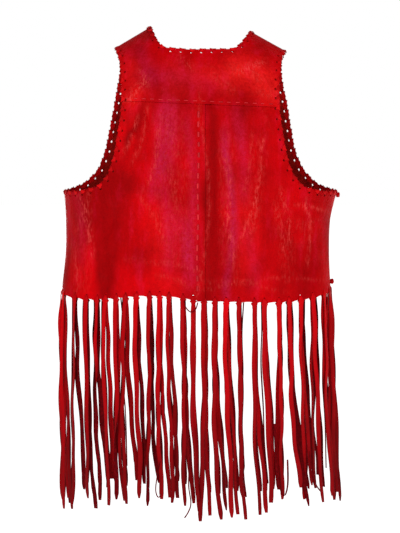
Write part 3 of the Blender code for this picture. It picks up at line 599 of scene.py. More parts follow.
def add_mesh(name: str, points: Array, faces: list[list[int]], slots: Array,
             marks: dict[str, Array], materials: list[bpy.types.Material]) -> bpy.types.Object:
    """Adds a mesh object whose faces point outwards.

    Args:
        name: the object's name.
        points: its vertices.
        faces: vertex numbers, one face a row.
        slots: each face's material slot.
        marks: each vertex's shading marks, by name.
        materials: what the slots hold.

    Returns:
        The new object.
    """
    mesh = bpy.data.meshes.new(name)
    mesh.from_pydata(points.tolist(), [], faces)
    mesh.polygons.foreach_set("material_index", slots.astype(np.int32))
    work = bmesh.new()
    work.from_mesh(mesh)
    bmesh.ops.recalc_face_normals(work, faces=work.faces)
    if work.calc_volume(signed=True) < 0:
        bmesh.ops.reverse_faces(work, faces=work.faces)
    work.to_mesh(mesh)
    work.free()
    for label, values in marks.items():
        layer = mesh.attributes.new(label, "FLOAT", "POINT")
        layer.data.foreach_set("value", values.astype(np.float32))
    for material in materials:
        mesh.materials.append(material)
    mesh.shade_smooth()
    obj = bpy.data.objects.new(name, mesh)
    bpy.context.scene.collection.objects.link(obj)
    return obj


class Panel:
    """A leather panel on the form: a lower patch and an upper patch that stands on it."""

    def __init__(self, form: TorsoForm, face: Face, lower: Patch, upper: Patch | None = None,
                 lift: Callable[[Array, Array], Array] | None = None) -> None:
        """Lays both patches.

        Args:
            form: what the leather lies on.
            face: back or front.
            lower: the lower patch.
            upper: the upper patch, which takes the lower one's first columns.
            lift: a function of x and height that raises the leather off the form.
        """
        self.form, self.face, self.lift = form, face, lift
        self.columns = len(lower.bottom) - 1
        self.low_rows = len(lower.inner) - 1
        self.high_columns = len(upper.bottom) - 1 if upper else self.columns
        self.rows = self.low_rows + (len(upper.inner) - 1 if upper else 0)
        self.points = np.full((self.columns + 1, self.rows + 1, 3), np.nan)
        self.normals = self.points.copy()
        self.lay(lower, 0)
        if upper:
            self.lay(upper, self.low_rows)

    def lay(self, patch: Patch, first_row: int) -> None:
        """Lays one patch, blending its four edges into each grid point."""
        lines = [np.array(edge) for edge in (patch.bottom, patch.top, patch.inner, patch.outer)]
        bottom, top, inner, outer = (
            np.stack([self.form.wrap(line[:, 0], line[:, 1]), line[:, 1]], -1) for line in lines)
        u = np.linspace(0, 1, len(bottom))[:, None, None]
        v = np.linspace(0, 1, len(inner))[None, :, None]
        upright = bottom[:, None] * (1 - v) + top[:, None] * v
        level = inner[None] * (1 - u) + outer[None] * u
        low = bottom[0] * (1 - u) + bottom[-1] * u
        high = top[0] * (1 - u) + top[-1] * u
        place = upright + level - (low * (1 - v) + high * v)
        wrap, height = place[..., 0], place[..., 1]
        extra = 0.0
        if self.lift:
            extra = self.lift(self.form.bare(self.face, wrap, height)[..., 0], height)
        rows = slice(first_row, first_row + len(inner))
        self.points[:len(bottom), rows], self.normals[:len(bottom), rows] = self.form.leather(
            self.face, wrap, height, extra)

    def edge(self, places: list[tuple[int, int]], insides: list[tuple[int, int]]) -> Array:
        """Middle of the leather, outward way and way off the panel at grid places."""
        at = np.array([self.points[p] for p in places])
        out = np.array([self.normals[p] for p in places])
        away = at - np.array([self.points[p] for p in insides])
        return np.stack([at - out * LEATHER / 2, out, away], 1)

    def inner_edge(self) -> Array:
        """Stations up the inner edge."""
        rows = range(self.rows + 1)
        return self.edge([(0, j) for j in rows], [(FINER, j) for j in rows])

    def armhole_edge(self) -> Array:
        """Stations from the armpit up the armhole."""
        row, corner = self.low_rows, self.high_columns
        flat, upright = range(self.columns, corner, -1), range(row, self.rows + 1)
        places = [(i, row) for i in flat] + [(corner, j) for j in upright]
        insides = [(i, row - FINER) for i in flat]
        insides += [(corner - FINER, j - FINER // 2 if j == row else j) for j in upright]
        return self.edge(places, insides)

    def mesh(self, name: str, marks: WearAndLightMarks,
             materials: list[bpy.types.Material]) -> bpy.types.Object:
        """The panel as a thin closed wall.

        Args:
            name: the piece's name.
            marks: what wear and painted light and shade left on its grain.
            materials: its grain, its flesh and its cut edge.

        Returns:
            The new object.
        """
        used = ~np.isnan(self.points[..., 0])
        number = np.full(used.shape, -1)
        number[used] = np.arange(used.sum())
        outer = self.points[used]
        inner = keep_on_face(outer - self.normals[used] * LEATHER, self.face)
        count = len(outer)
        i, j = np.nonzero(used[:-1, :-1] & used[1:, :-1] & used[1:, 1:] & used[:-1, 1:])
        quads = np.stack([number[i, j], number[i + 1, j], number[i + 1, j + 1],
                          number[i, j + 1]], -1)
        last, corner, row, top = self.columns, self.high_columns, self.low_rows, self.rows
        rim = [(i, 0) for i in range(last)] + [(last, j) for j in range(row)]
        rim += [(i, row) for i in range(last, corner, -1)]
        rim += [(corner, j) for j in range(row, top)] + [(i, top) for i in range(corner, 0, -1)]
        rim += [(0, j) for j in range(top, 0, -1)]
        ring = np.array([number[p] for p in rim])
        after = np.roll(ring, -1)
        walls = np.stack([after, ring, ring + count, after + count], -1)
        faces = np.concatenate([quads, quads[:, ::-1] + count, walls])
        slots = np.repeat([0, 1, 2], [len(quads), len(quads), len(walls)])
        return add_mesh(name, np.concatenate([outer, inner]), faces.tolist(), slots,
                        marks.read(self.face, np.concatenate([outer, outer])), materials)


@dataclass
class PatternCutter:
    """Draws every panel's outline in (x, height), from the vest's own cut."""

    form: TorsoForm
    hem: HemLine
    tip_out: float = 0.137
    armpit_height: float = -0.2440
    seam_height: float = -0.1045
    seam_slope: float = -0.0407
    tuck: float = 0.009
    tuck_run: float = 0.011
    tuck_from: float = 0.012
    hem_allowance: float = 0.010
    hem_level: float = -0.415
    closeness: float = 1.45
    yoke_rows: int = 7
    shoulder_cells: int = 3
    neck_cells: int = 14
    back_cells: tuple[int, int, int, int] = (9, 10, 7, 7)
    front_cells: tuple[int, int, int, int] = (8, 8, 7, 14)
    # X, height
    neckline: Array = table(
        (-80, 19.8), (-70.5, -2), (-60, -13.5), (-48, -16.5), (0, -18.5), (48, -17), (59, -12.5),
        (70, -1), (80, 12.6))
    # Distance from the middle, height
    yoke_armhole: Array = table(
        (137, -16), (128, -34), (125.2, -58), (124, -104.5))
    back_armhole: Array = table(
        (145, -214), (137, -190), (131.5, -162), (126.8, -133), (124, -104.5))
    back_armpit: Array = table(
        (145, -214), (161, -232.5), (177, -238.5), (195, -242.5))
    front_armhole: Array = table(
        (169, -211), (157, -183), (150, -148), (140, -97), (132, -56), (131.5, -34), (137, -16))
    front_armpit: Array = table(
        (169, -211), (188, -231), (205, -239.5))
    opening_half: float = 0.009
    opening_at_hem: float = -0.015
    opening_at_v: float = -0.003
    v_bottom: float = -0.205
    v_bulge: float = 0.010

    def seam(self, x: float) -> float:
        """Height of the yoke seam over x."""
        return self.seam_height + self.seam_slope * x

    def path(self, rows: Array, side: Side, first: tuple | None = None,
             last: tuple | None = None) -> Points:
        """A table's points on one side, with its ends replaced where they are given."""
        line = [(side.value * out, height) for out, height in rows]
        line[0] = first or line[0]
        line[-1] = last or line[-1]
        return line

    def lower_edge(self, face: Face, start_x: float, break_x: float, side: Side,
                   first_cells: int, last_cells: int) -> Points:
        """The hem of one panel from near the middle round to the side seam, with its arches."""
        level = float(self.hem.height(face, self.form.side_x(side, self.hem_level)))
        level += self.hem_allowance
        first, middle = (float(self.form.wrap(x, level)) for x in (start_x, break_x))
        wraps = np.concatenate([
            np.linspace(first, middle, first_cells * FINER + 1)[:-1],
            np.linspace(middle, side.value, last_cells * FINER + 1)])
        half_width, _, shift = self.form.ring(np.array(level))
        x = shift + half_width * np.sin(wraps * np.pi / 2)
        z = self.hem.height(face, x) + self.hem.arch(face, side, wraps)
        return list(zip(x.tolist(), z.tolist()))

    def side_edge(self, side: Side, bottom: tuple, rows: int) -> Points:
        """The side seam from the hem up to the armpit."""
        heights = np.linspace(bottom[1], self.armpit_height, rows * FINER + 1)
        return [(self.form.side_x(side, z), z) for z in heights.tolist()]

    def armpit_run(self, rows: Array, side: Side, cells: int) -> Points:
        """The armhole's flat lower stretch, to the armpit on the side seam."""
        armpit = (self.form.side_x(side, self.armpit_height), self.armpit_height)
        return smooth_path(self.path(rows, side) + [armpit], cells * FINER)

    def lead_run(self, start: tuple, end: tuple, cells: int, first: float) -> Points:
        """A straight run whose first cell ends at the x given as first."""
        knee = (first, blend(start[1], end[1], (first - start[0]) / (end[0] - start[0])))
        return resample([start, knee], FINER)[:-1] + resample([knee, end], (cells - 1) * FINER)

    def back(self, side: Side) -> Panel:
        """One lower back panel; the left one laps over the right one along the middle."""
        over = side is Side.LEFT
        start_x, lap = (LAP_OVER, -LAP_UNDER) if over else (-LAP_UNDER, LAP_OVER)
        cells, pit_cells, low, high = self.back_cells
        turn = self.path(self.back_armpit, side)[0]
        end_x = side.value * self.yoke_armhole[-1][0]
        corner = (end_x, self.seam(end_x) + self.tuck)
        start_level = float(self.hem.height(Face.BACK, start_x))
        body = self.lower_edge(Face.BACK, lap, turn[0], side, cells - 1, pit_cells)
        bottom = resample([(start_x, start_level), body[0]], FINER)[:-1] + body
        middle = self.lead_run((start_x, turn[1]), turn, cells, lap)
        middle += self.armpit_run(self.back_armpit, side, pit_cells)[1:]
        lower = Patch(bottom, middle, resample([bottom[0], middle[0]], low * FINER),
                      self.side_edge(side, bottom[-1], low))
        top = self.lead_run((start_x, self.seam(start_x) + self.tuck), corner, cells, lap)
        outline = self.path(self.back_armhole, side, turn, (end_x, self.seam(end_x))) + [corner]
        upper = Patch(middle[:cells * FINER + 1], top,
                      resample([middle[0], top[0]], high * FINER),
                      smooth_path(outline, high * FINER))
        step = LEATHER + SEAM_GAP

        def lift(x: Array, height: Array) -> Array:
            """Raises the left panel over the right one, and sinks both under the yoke."""
            lap_share = ease((x + LAP_UNDER + LAP_SHOULDER) / LAP_SHOULDER)
            raised = step * lap_share if over else 0.0
            away = ease((LAP_OVER + LAP_SHOULDER - x) / LAP_SHOULDER)
            sink = step * (1 + (lap_share if over else away))
            return raised - sink * ease((height - self.seam(x) + self.tuck_from) / self.tuck_run)

        return Panel(self.form, Face.BACK, lower, upper, lift)

    def tip(self, side: Side) -> tuple[float, float]:
        """The outer end of the shoulder seam."""
        x = side.value * self.tip_out
        return (x, float(self.form.shoulder_height(x)))

    def neck(self, side: Side) -> Array:
        """The inner end of the shoulder seam."""
        return self.neckline[0 if side is Side.LEFT else -1]

    def yoke(self) -> Panel:
        """The yoke, up to the neckline and the shoulder seams."""
        cells = self.shoulder_cells * FINER
        top = resample([self.tip(Side.LEFT), self.neck(Side.LEFT)], cells)
        top += smooth_path(self.neckline, self.neck_cells * FINER)[1:-1]
        top += resample([self.neck(Side.RIGHT), self.tip(Side.RIGHT)], cells)
        sides = []
        for side in Side:
            low_x = side.value * self.yoke_armhole[-1][0]
            path = self.path(self.yoke_armhole, side, self.tip(side), (low_x, self.seam(low_x)))
            sides.append(smooth_path(path[::-1], self.yoke_rows * FINER, self.closeness))
        bottom = resample([sides[0][0], sides[1][0]], len(top) - 1)
        return Panel(self.form, Face.BACK, Patch(bottom, top, *sides))

    def opening_x(self, side: Side, height: float) -> float:
        """The front edge beside the opening, below the V."""
        share = (height - self.v_bottom) / (float(self.hem.height(Face.FRONT, 0)) - self.v_bottom)
        middle = blend(self.opening_at_v, self.opening_at_hem, share)
        return middle + side.value * self.opening_half

    def front(self, side: Side) -> Panel:
        """One front, cut whole from the hem to the shoulder seam."""
        cells, pit_cells, low, high = self.front_cells
        turn = self.path(self.front_armpit, side)[0]
        start_x = self.opening_x(side, float(self.hem.height(Face.FRONT, 0)))
        bottom = self.lower_edge(Face.FRONT, start_x, turn[0], side, cells, pit_cells)
        v_low = (self.opening_x(side, self.v_bottom), self.v_bottom)
        middle = resample([v_low, turn], cells * FINER)
        middle += self.armpit_run(self.front_armpit, side, pit_cells)[1:]
        lower = Patch(bottom, middle, resample([bottom[0], v_low], low * FINER),
                      self.side_edge(side, bottom[-1], low))
        neck, tip = self.neck(side), self.tip(side)
        bend = (blend(v_low[0], neck[0], 0.5) - side.value * self.v_bulge,
                blend(v_low[1], neck[1], 0.5))
        inner, outer = (smooth_path(line, high * FINER, self.closeness) for line in (
            [v_low, bend, neck], self.path(self.front_armhole, side, turn, tip)))
        upper = Patch(middle[:cells * FINER + 1], resample([neck, tip], cells * FINER),
                      inner, outer)
        return Panel(self.form, Face.FRONT, lower, upper)


class Thong:
    """A flat leather thong, modelled once as a straight blank and bent along each route."""

    rounding = 0.22
    edge_share = 0.34
    flesh_facing = -0.3

    def __init__(self, name: str, cells: int) -> None:
        """Makes the blank: a bar one unit long, with rounded long edges and even cells.

        Args:
            name: a name for the blank.
            cells: how many cells it has along its length.
        """
        bpy.ops.object.select_all(action="DESELECT")
        bpy.ops.mesh.primitive_cube_add(size=1.0, location=(0, 0, 0.5))
        obj = bpy.context.object
        obj.name = name
        bpy.ops.object.transform_apply(location=True, rotation=False, scale=False)
        bpy.ops.object.mode_set(mode="EDIT")
        bpy.ops.mesh.select_mode(type="EDGE")
        bpy.ops.mesh.select_all(action="DESELECT")
        work = bmesh.from_edit_mesh(obj.data)
        for edge in work.edges:
            edge.select_set(abs(edge.verts[0].co.z - edge.verts[1].co.z) > 0.5)
        bmesh.update_edit_mesh(obj.data)
        bpy.ops.mesh.bevel(offset=self.rounding, segments=1, affect="EDGES")
        for cell in range(1, cells):
            bpy.ops.mesh.select_all(action="SELECT")
            bpy.ops.mesh.bisect(plane_co=(0, 0, cell / cells), plane_no=(0, 0, 1))
        bpy.ops.object.mode_set(mode="OBJECT")
        mesh = obj.data
        across, self.thick, self.along = np.array([v.co[:] for v in mesh.vertices]).T
        self.across = np.sign(across) * (0.5 - (0.5 - np.abs(across)) * self.edge_share)
        self.rim = np.clip(across * 2, -1, 1)
        self.faces = [list(p.vertices) for p in mesh.polygons]
        facing = np.array([p.normal[1] for p in mesh.polygons])
        self.slots = np.where(facing > self.flesh_facing, 0, 1)
        bpy.data.objects.remove(obj, do_unlink=True)
        bpy.data.meshes.remove(mesh)

    def bend(self, centre: Array, flat: Array, thick: Array, width: Array,
             depth: float) -> Array:
        """The blank's points along a route.

        Args:
            centre: the route's points, evenly spread over its length.
            flat: the way across the thong at each.
            thick: the way out of its grain side at each.
            width: its width at each.
            depth: its thickness.

        Returns:
            One point a row.
        """
        at = np.linspace(0, 1, len(centre))
        middle, across, out = (pick(self.along, at, rows) for rows in (centre, flat, thick))
        wide = np.interp(self.along, at, width)
        return (middle + across * (self.across * wide)[:, None]
                + out * (self.thick * depth)[:, None])


class Bundle:
    """Copies of thongs gathered into one piece."""

    crisp_degrees = 50.0

    def __init__(self) -> None:
        """Starts empty."""
        self.points: list[Array] = []
        self.faces: list[list[int]] = []
        self.slots: list[Array] = []
        self.tones: list[Array] = []
        self.rims: list[Array] = []
        self.count = 0

    def add(self, blank: Thong, points: Array, tone: float, swapped: bool = False,
            bared: Array | float = 1.0) -> None:
        """Adds one copy with its own tone.

        Args:
            blank: the straight thong.
            points: its points along its route.
            tone: how light it is dyed, from 0 to 1.
            swapped: turns its flesh side out.
            bared: how much of its darker edges shows, cut core and painted shade, at each point.
        """
        self.points.append(points)
        self.faces += [[v + self.count for v in face] for face in blank.faces]
        self.slots.append(np.ones_like(blank.slots) if swapped else blank.slots)
        self.tones.append(np.full(len(points), tone))
        self.rims.append(blank.rim * bared)
        self.count += len(points)

    def build(self, name: str, materials: list[bpy.types.Material]) -> bpy.types.Object:
        """Makes the piece, with each copy's tone and its way across kept as marks."""
        points, slots, tones, rims = map(
            np.concatenate, (self.points, self.slots, self.tones, self.rims))
        obj = add_mesh(name, points, self.faces, slots, {"tone": tones, "rim": rims}, materials)
        smooth_by_angle(obj, self.crisp_degrees)
        return obj


class EdgeLine:
    """A laced edge: where the leather ends, which way is out and which way is off the edge."""

    def __init__(self, runs: list[Array], ring: bool) -> None:
        """Joins the runs of neighbouring panels.

        Args:
            runs: stations of each panel's edge, in order.
            ring: whether the last run meets the first.
        """
        stations = list(runs[0])
        for run in runs[1:]:
            stations[-1] = (stations[-1] + run[0]) / 2
            stations += list(run[1:])
        if ring:
            stations[0] = (stations[0] + stations[-1]) / 2
            stations[-1] = stations[0]
        line = np.array(stations)
        apart = np.linalg.norm(np.diff(line[:, 0], axis=0), axis=1) > TOUCHING
        line = line[np.concatenate([[True], apart])]
        self.ring = ring
        self.at, out, away = line[:, 0], line[:, 1], line[:, 2]
        before, after = np.roll(self.at, 1, axis=0), np.roll(self.at, -1, axis=0)
        before[0], after[-1] = (self.at[-2], self.at[1]) if ring else (self.at[0], self.at[-1])
        self.out = self.soften(out)
        off = unit(np.cross(unit(after - before), self.out))
        off *= np.where((off * away).sum(1, keepdims=True) > 0, 1, -1)
        self.off = self.soften(off)
        self.walked = walk(self.at)
        self.length = float(self.walked[-1])

    def soften(self, ways: Array, rounds: int = 4) -> Array:
        """Evens out directions along the line."""
        for _ in range(rounds):
            ways = ways.copy()
            ways[1:-1] = (ways[:-2] + 2 * ways[1:-1] + ways[2:]) / 4
            if self.ring:
                ways[0] = ways[-1] = (ways[1] + ways[-2]) / 2
            ways = unit(ways)
        return ways

    def read(self, where: Array) -> tuple[Array, Array, Array]:
        """Points, outward ways and ways off the edge at distances along it."""
        where = np.asarray(where, float)
        where = where % self.length if self.ring else np.clip(where, 0, self.length)
        return tuple(pick(where, self.walked, rows) for rows in (self.at, self.out, self.off))


@dataclass
class WhipLacing:
    """A thong laced over a cut edge through punched holes."""

    pitch: float = 0.0160
    hole_in: float = 0.0064
    hole_radius: float = 0.0019
    width: float = 0.0100
    gathered: float = 0.0020
    depth: float = 0.0007
    stand_off: float = 0.0008
    lean: float = 0.10
    last_room: float = 0.4
    route_steps: int = 60
    route: Points = (
        # along (of the pitch), off the edge (of the hole's distance or the stand-off), out
        (0.00, -0.80, -0.0004), (0.02, -0.74, 0.0006), (0.07, -0.50, 0.0011),
        (0.13, -0.10, 0.0012), (0.15, 0.50, 0.0010), (0.16, 0.85, 0.0000),
        (0.17, 0.50, -0.0010), (0.20, -0.10, -0.0012), (0.42, -0.46, -0.0012),
        (0.90, -0.74, -0.0009), (1.00, -0.80, 0.0004))

    def spots(self, line: EdgeLine, centred_at: float | None) -> Array:
        """Distances of the holes along an edge, evenly spread.

        Args:
            line: the edge.
            centred_at: a distance where a hole should lie, or none.

        Returns:
            The distances.
        """
        if line.ring:
            count = round(line.length / self.pitch)
            return np.arange(count) * line.length / count
        start = (centred_at % self.pitch) if centred_at is not None else self.pitch / 2
        return np.arange(start, line.length - self.pitch * self.last_room, self.pitch)

    def holes(self, line: EdgeLine, spots: Array) -> list[tuple[Array, Array]]:
        """Centre and outward way of each hole."""
        at, out, off = line.read(spots)
        return list(zip(at - off * self.hole_in, out))

    def lace(self, line: EdgeLine, spots: Array, blank: Thong, bundle: Bundle,
             rng: np.random.Generator) -> None:
        """Lays one stitch from each hole over the edge to the next hole."""
        steps = np.diff(spots)
        steps = np.append(steps, (line.length - spots[-1] + spots[0]) if line.ring else [])
        along, off_edge, out_of = np.array(smooth_path(self.route, self.route_steps)).T
        share = np.linspace(0, 1, len(along))
        wide = blend(self.gathered, self.width, fade(share, 5))
        for start, step in zip(spots, steps):
            lean = 1 + self.lean * rng.standard_normal()
            reach = np.where(off_edge < 0, self.hole_in, self.stand_off * lean)
            local = np.stack([along * step, off_edge * reach, out_of], -1)
            way = unit(np.gradient(local, axis=0))
            thick = np.stack([np.zeros(len(way)), -way[:, 2], way[:, 1]], -1)
            thick /= np.maximum(np.linalg.norm(thick, axis=1, keepdims=True), 1e-6)
            place = blank.bend(local, np.cross(way, thick), thick, wide, self.depth)
            at, out, off = line.read(start + place[:, 0])
            bundle.add(blank, at + off * place[:, 1:2] + out * place[:, 2:3], rng.random())


@dataclass
class RunningStitch:
    """Stitches that run in and out of the leather along a seam."""

    pitch: float
    shown: float
    width: float
    depth: float
    sunk: float = 0.0010
    uneven: float = 0.08
    narrowed: float = 0.75
    first_share: float = 0.3

    def sew(self, line: Array, outs: Array, blank: Thong, bundle: Bundle,
            rng: np.random.Generator) -> None:
        """Lays the stitches along a line of surface points."""
        walked = walk(line)
        share = np.linspace(0, 1, 15)
        rise = (self.depth * 0.5 + self.sunk) * fade(share, 6)
        wide = self.width * blend(self.narrowed, 1.0, fade(share, 5))
        for start in np.arange(self.pitch * self.first_share, walked[-1] - self.shown, self.pitch):
            where = start + share * (self.shown * (1 + self.uneven * rng.standard_normal()))
            at, out = pick(where, walked, line), pick(where, walked, outs)
            centre = at + out * (rise - self.sunk)[:, None]
            flat = np.cross(unit(np.gradient(at, axis=0)), out)
            bundle.add(blank, blank.bend(centre, flat, out, wide, self.depth), rng.random())


@dataclass
class Fringe:
    """Pairs of long thongs that hang from punched holes above the hem."""

    form: TorsoForm
    hem: HemLine
    width: float = 0.0070
    depth: float = 0.0013
    hole_radius: float = 0.0013
    flare: float = 0.0048
    outer_flare: float = 0.55
    hem_share: float = 0.25
    hem_reach: float = 0.006
    side_from: float = 0.205
    side_run: float = 0.045
    calm_from: float = 0.100
    side_turn: float = math.radians(68)
    parting: float = 0.050
    pair_step: float = 0.0015
    near_layer: float = 0.0034
    layer_step: float = 0.0044
    clear: float = 0.0003
    most_turn: float = math.radians(20)
    sway_power: float = 1.8
    wave_rise: float = 0.0035
    phase_step: float = 2.1
    inner_phase: float = 1.3
    kink_rise: float = 0.0011
    kink_waves: tuple[float, float] = (14, 24)
    float_rise: float = 0.0016
    float_waves: tuple[float, float] = (9, 16)
    side_near: float = 0.7
    side_step: float = 0.2
    side_range: tuple[float, float] = (0.7, 1.15)
    hole_run: float = 0.0028
    pair_run: float = 0.020
    turn_run: float = 0.03
    bared_run: float = 0.014
    in_hole: float = 0.50
    in_hole_run: float = 0.007
    width_range: tuple[float, float] = (0.80, 1.14)
    width_waves: tuple[float, float] = (8, 18)
    uneven: float = 0.08
    end_width: tuple[float, float] = (0.3, 0.9)
    end_run: tuple[float, float] = (0.004, 0.016)
    twisted_share: float = 0.18
    twist_middle: tuple[float, float] = (0.25, 0.9)
    twist_spread: tuple[float, float] = (0.12, 0.25)
    inside_out: tuple[float, float] = (0.16, 0.5)
    loose_depth: float = 0.8
    loose_turn: float = 0.9
    route_steps: int = 90
    loose: tuple = (
        # Width, distance behind the hem's line, then the route in X and height
        ((1.8, 4.5), (-24.9, -411.6), (-23.7, -421.8), (-15.7, -430.4), (-7.9, -426.5),
         (-4.2, -415.5)),
        ((2.2, -10.5), (-162.2, -412.4), (-165.6, -451.5), (-165, -490.6), (-160.6, -545.3),
         (-156.7, -615.6), (-150.1, -696.9)),
        ((2, -14), (-155.9, -412.4), (-152.5, -459.3), (-157.2, -514), (-155.9, -568.7),
         (-151.2, -631.2), (-143.4, -690.6)),
        ((2, 12), (-16.5, -654.7), (-18.7, -701.6), (-15.2, -731.3), (-18.8, -745.3),
         (-25.2, -755.5)),
        ((1.9, 12), (-63.5, -665.6), (-69.4, -696.9), (-70.4, -714.1), (-66.3, -723.4),
         (-61.9, -717.2)),
        ((2.4, -12), (96.4, -415.5), (97, -459.3), (95.7, -514), (99.5, -584.3), (101.8, -646.9),
         (107.3, -706.3)),
        ((3, 12.5), (116.7, -607.8), (118.3, -654.7), (123, -700), (131.8, -723.4), (138, -706.3),
         (137.7, -665.6)),
        ((2.1, 12.5), (173.1, -654.7), (176.3, -685.9), (184.1, -709.4), (192.7, -722.7)),
        ((2, -12), (68.1, -417.1), (65.6, -467.1), (67.2, -529.6), (63.8, -600), (66.6, -670.3)),
        ((2, -13), (195.1, -412.4), (198.2, -474.9), (196, -545.3), (200.6, -615.6),
         (202.9, -690.6)),
        ((2, -12.5), (-126.2, -409.3), (-122.2, -459.3), (-124.6, -521.8), (-119, -592.2),
         (-116.8, -678.1)))

    def hang(self, face: Face, side: Side, blank: Thong, bundle: Bundle,
             rng: np.random.Generator) -> None:
        """Hangs every thong of one panel's hem."""
        for along, outer_sway, outer_length, inner_sway, inner_length, number in (
                self.hem.roots(face, side)):
            self.strand(face, along, 1, outer_sway, outer_length, number, blank, bundle, rng)
            self.strand(face, along, -1, inner_sway, inner_length, number, blank, bundle, rng)

    def hang_loose(self, side: Side, blank: Thong, bundle: Bundle) -> None:
        """Hangs the side's narrow loose thongs, which follow routes of their own."""
        for size, *route in self.loose:
            if (route[0][0] < 0) is not (side is Side.LEFT):
                continue
            width, behind = np.array(size) / 1000
            x, z = np.array(smooth_path(metres(route), self.route_steps)).T
            level = np.full_like(x, float(self.hem.height(Face.BACK, 0.0)))
            under = self.form.bare(Face.BACK, self.form.wrap(x, level), level)[:, 1]
            centre = np.stack([x, under - behind, z], -1)
            way = unit(np.gradient(centre, axis=0))
            turn = self.loose_turn * np.sin(np.linspace(0, 7, len(x)))
            flat = np.stack([np.cos(turn), np.sin(turn), np.zeros_like(x)], -1)
            flat = unit(flat - way * (flat * way).sum(1, keepdims=True))
            points = blank.bend(centre, flat, np.cross(flat, way), np.full(len(x), width),
                                self.depth * self.loose_depth)
            # Darkest tone with the flesh side out, part of which is painted shade
            bundle.add(blank, points, 0.0, True)

    def strand(self, face: Face, along: float, layer: int, sway: float, length: float,
               number: int, blank: Thong, bundle: Bundle, rng: np.random.Generator) -> None:
        """Hangs one thong, out of its hole and down past the hem.

        Args:
            face: back or front.
            along: its root's distance along the hem.
            layer: 1 outside the leather, -1 inside it.
            sway: how far its end swings to +X.
            length: its hanging length.
            number: its place in the row, which sets its layer and its wave.
            blank: the straight thong.
            bundle: what it is added to.
            rng: the row's own random numbers.
        """
        hole_above = self.hem.hole_above
        hole, _, _ = self.hem.frame(face, along, hole_above)
        root, ahead, out = self.hem.frame(face, along)
        drop = np.interp(np.linspace(0, 1, self.route_steps + 1), (0, self.hem_share, 1),
                         (-hole_above, self.hem_reach, length))
        share = np.clip(drop / length, 0, 1)
        phase = number * self.phase_step + (self.inner_phase if layer < 0 else 0.0)
        # From the hole round to its own layer, nearer the others towards the sides
        beside = ease((abs(along) - self.calm_from) / (self.side_from - self.calm_from))
        deep = self.near_layer * blend(1.0, self.side_near, beside)
        deep += self.layer_step * blend(1.0, self.side_step, beside) * (number % 2)
        rest = self.depth / 2 + self.clear
        off = blend(rest if layer > 0 else -(LEATHER + rest), layer * deep,
                    ease(drop / self.parting))
        off = blend(off, -LEATHER / 2, ease(1 - (drop + hole_above) / self.hole_run))
        top = np.clip(-drop / hole_above, 0, 1)
        centre = root + (hole - root) * (1, 1, 0) * top[:, None] + out * off[:, None]
        centre[:, 2] = root[2] - drop
        # Sway, waves and kinks
        centre[:, 0] += sway * share ** self.sway_power
        wave = self.wave_rise * share * np.sin(phase + 5.0 * share)
        free = ease(share * 4)
        kink = self.kink_rise * np.sin(phase * 3 + share * rng.uniform(*self.kink_waves)) * free
        beside_other = -layer * self.pair_step * (1 - beside) * ease(drop / self.pair_run)
        centre += ahead * (wave + kink + beside_other)[:, None]
        floated = np.sin(phase * 5 + share * rng.uniform(*self.float_waves)) * free
        centre += out * (self.float_rise * floated)[:, None]
        # Turns to the side, and now and then a half twist
        turn = self.most_turn * np.sin(phase * 1.7 + 3.0 * share) * ease(drop / self.turn_run)
        to_side = ease((abs(along) - self.side_from) / self.side_run)
        turn = turn + math.copysign(self.side_turn, along) * to_side * rng.uniform(
            *self.side_range) * ease(drop / self.side_run)
        if rng.random() < self.twisted_share:
            middle, spread = rng.uniform(*self.twist_middle), rng.uniform(*self.twist_spread)
            twist = ease((share - middle + spread) / spread / 2)
            turn = turn + rng.choice([-1, 1]) * np.pi * twist
        cos, sin = np.cos(turn)[:, None], np.sin(turn)[:, None]
        # Uneven width, narrow in the hole, rounded into the hem's edge and cut off at the end
        wide = self.width * rng.uniform(*self.width_range) * (
            1 + self.uneven * np.sin(phase * 2 + share * rng.uniform(*self.width_waves)))
        wide = wide * blend(self.in_hole, 1.0, ease((drop + hole_above) / self.in_hole_run))
        corner = 1 - np.clip(np.where(drop < 0, -drop * 3, drop) / self.flare, 0, 1)
        flare = self.flare * (self.outer_flare if layer > 0 else 1.0)
        wide = wide + 2 * flare * (1 - np.sqrt(1 - corner ** 2))
        end = (1 - share) * length
        wide = wide * blend(rng.uniform(*self.end_width), 1.0,
                            ease(end / rng.uniform(*self.end_run)))
        swapped = layer < 0 and rng.random() < self.inside_out[face is Face.FRONT]
        bared = np.interp(blank.along, np.linspace(0, 1, len(drop)), ease(drop / self.bared_run))
        points = blank.bend(centre, ahead * cos + out * sin, out * cos - ahead * sin, wide,
                            self.depth)
        bundle.add(blank, points, rng.random(), swapped, bared)


def add_node(tree: bpy.types.NodeTree, kind: str, settings: dict | None = None,
             inputs: dict | None = None, links: dict | None = None) -> bpy.types.Node:
    """Adds one shader node.

    Args:
        tree: the material's tree.
        kind: the node's type.
        settings: its properties.
        inputs: values of its sockets.
        links: sockets and the outputs that feed them.

    Returns:
        The node.
    """
    node = tree.nodes.new(kind)
    for key, value in (settings or {}).items():
        setattr(node, key, value)
    for key, value in (inputs or {}).items():
        node.inputs[key].default_value = value
    for key, output in (links or {}).items():
        tree.links.new(output, node.inputs[key])
    return node


def start_material(name: str) -> tuple[bpy.types.Material, bpy.types.NodeTree, bpy.types.Node]:
    """A new material with its tree and its Principled shader."""
    material = bpy.data.materials.new(name)
    material.use_nodes = True
    return material, material.node_tree, material.node_tree.nodes["Principled BSDF"]


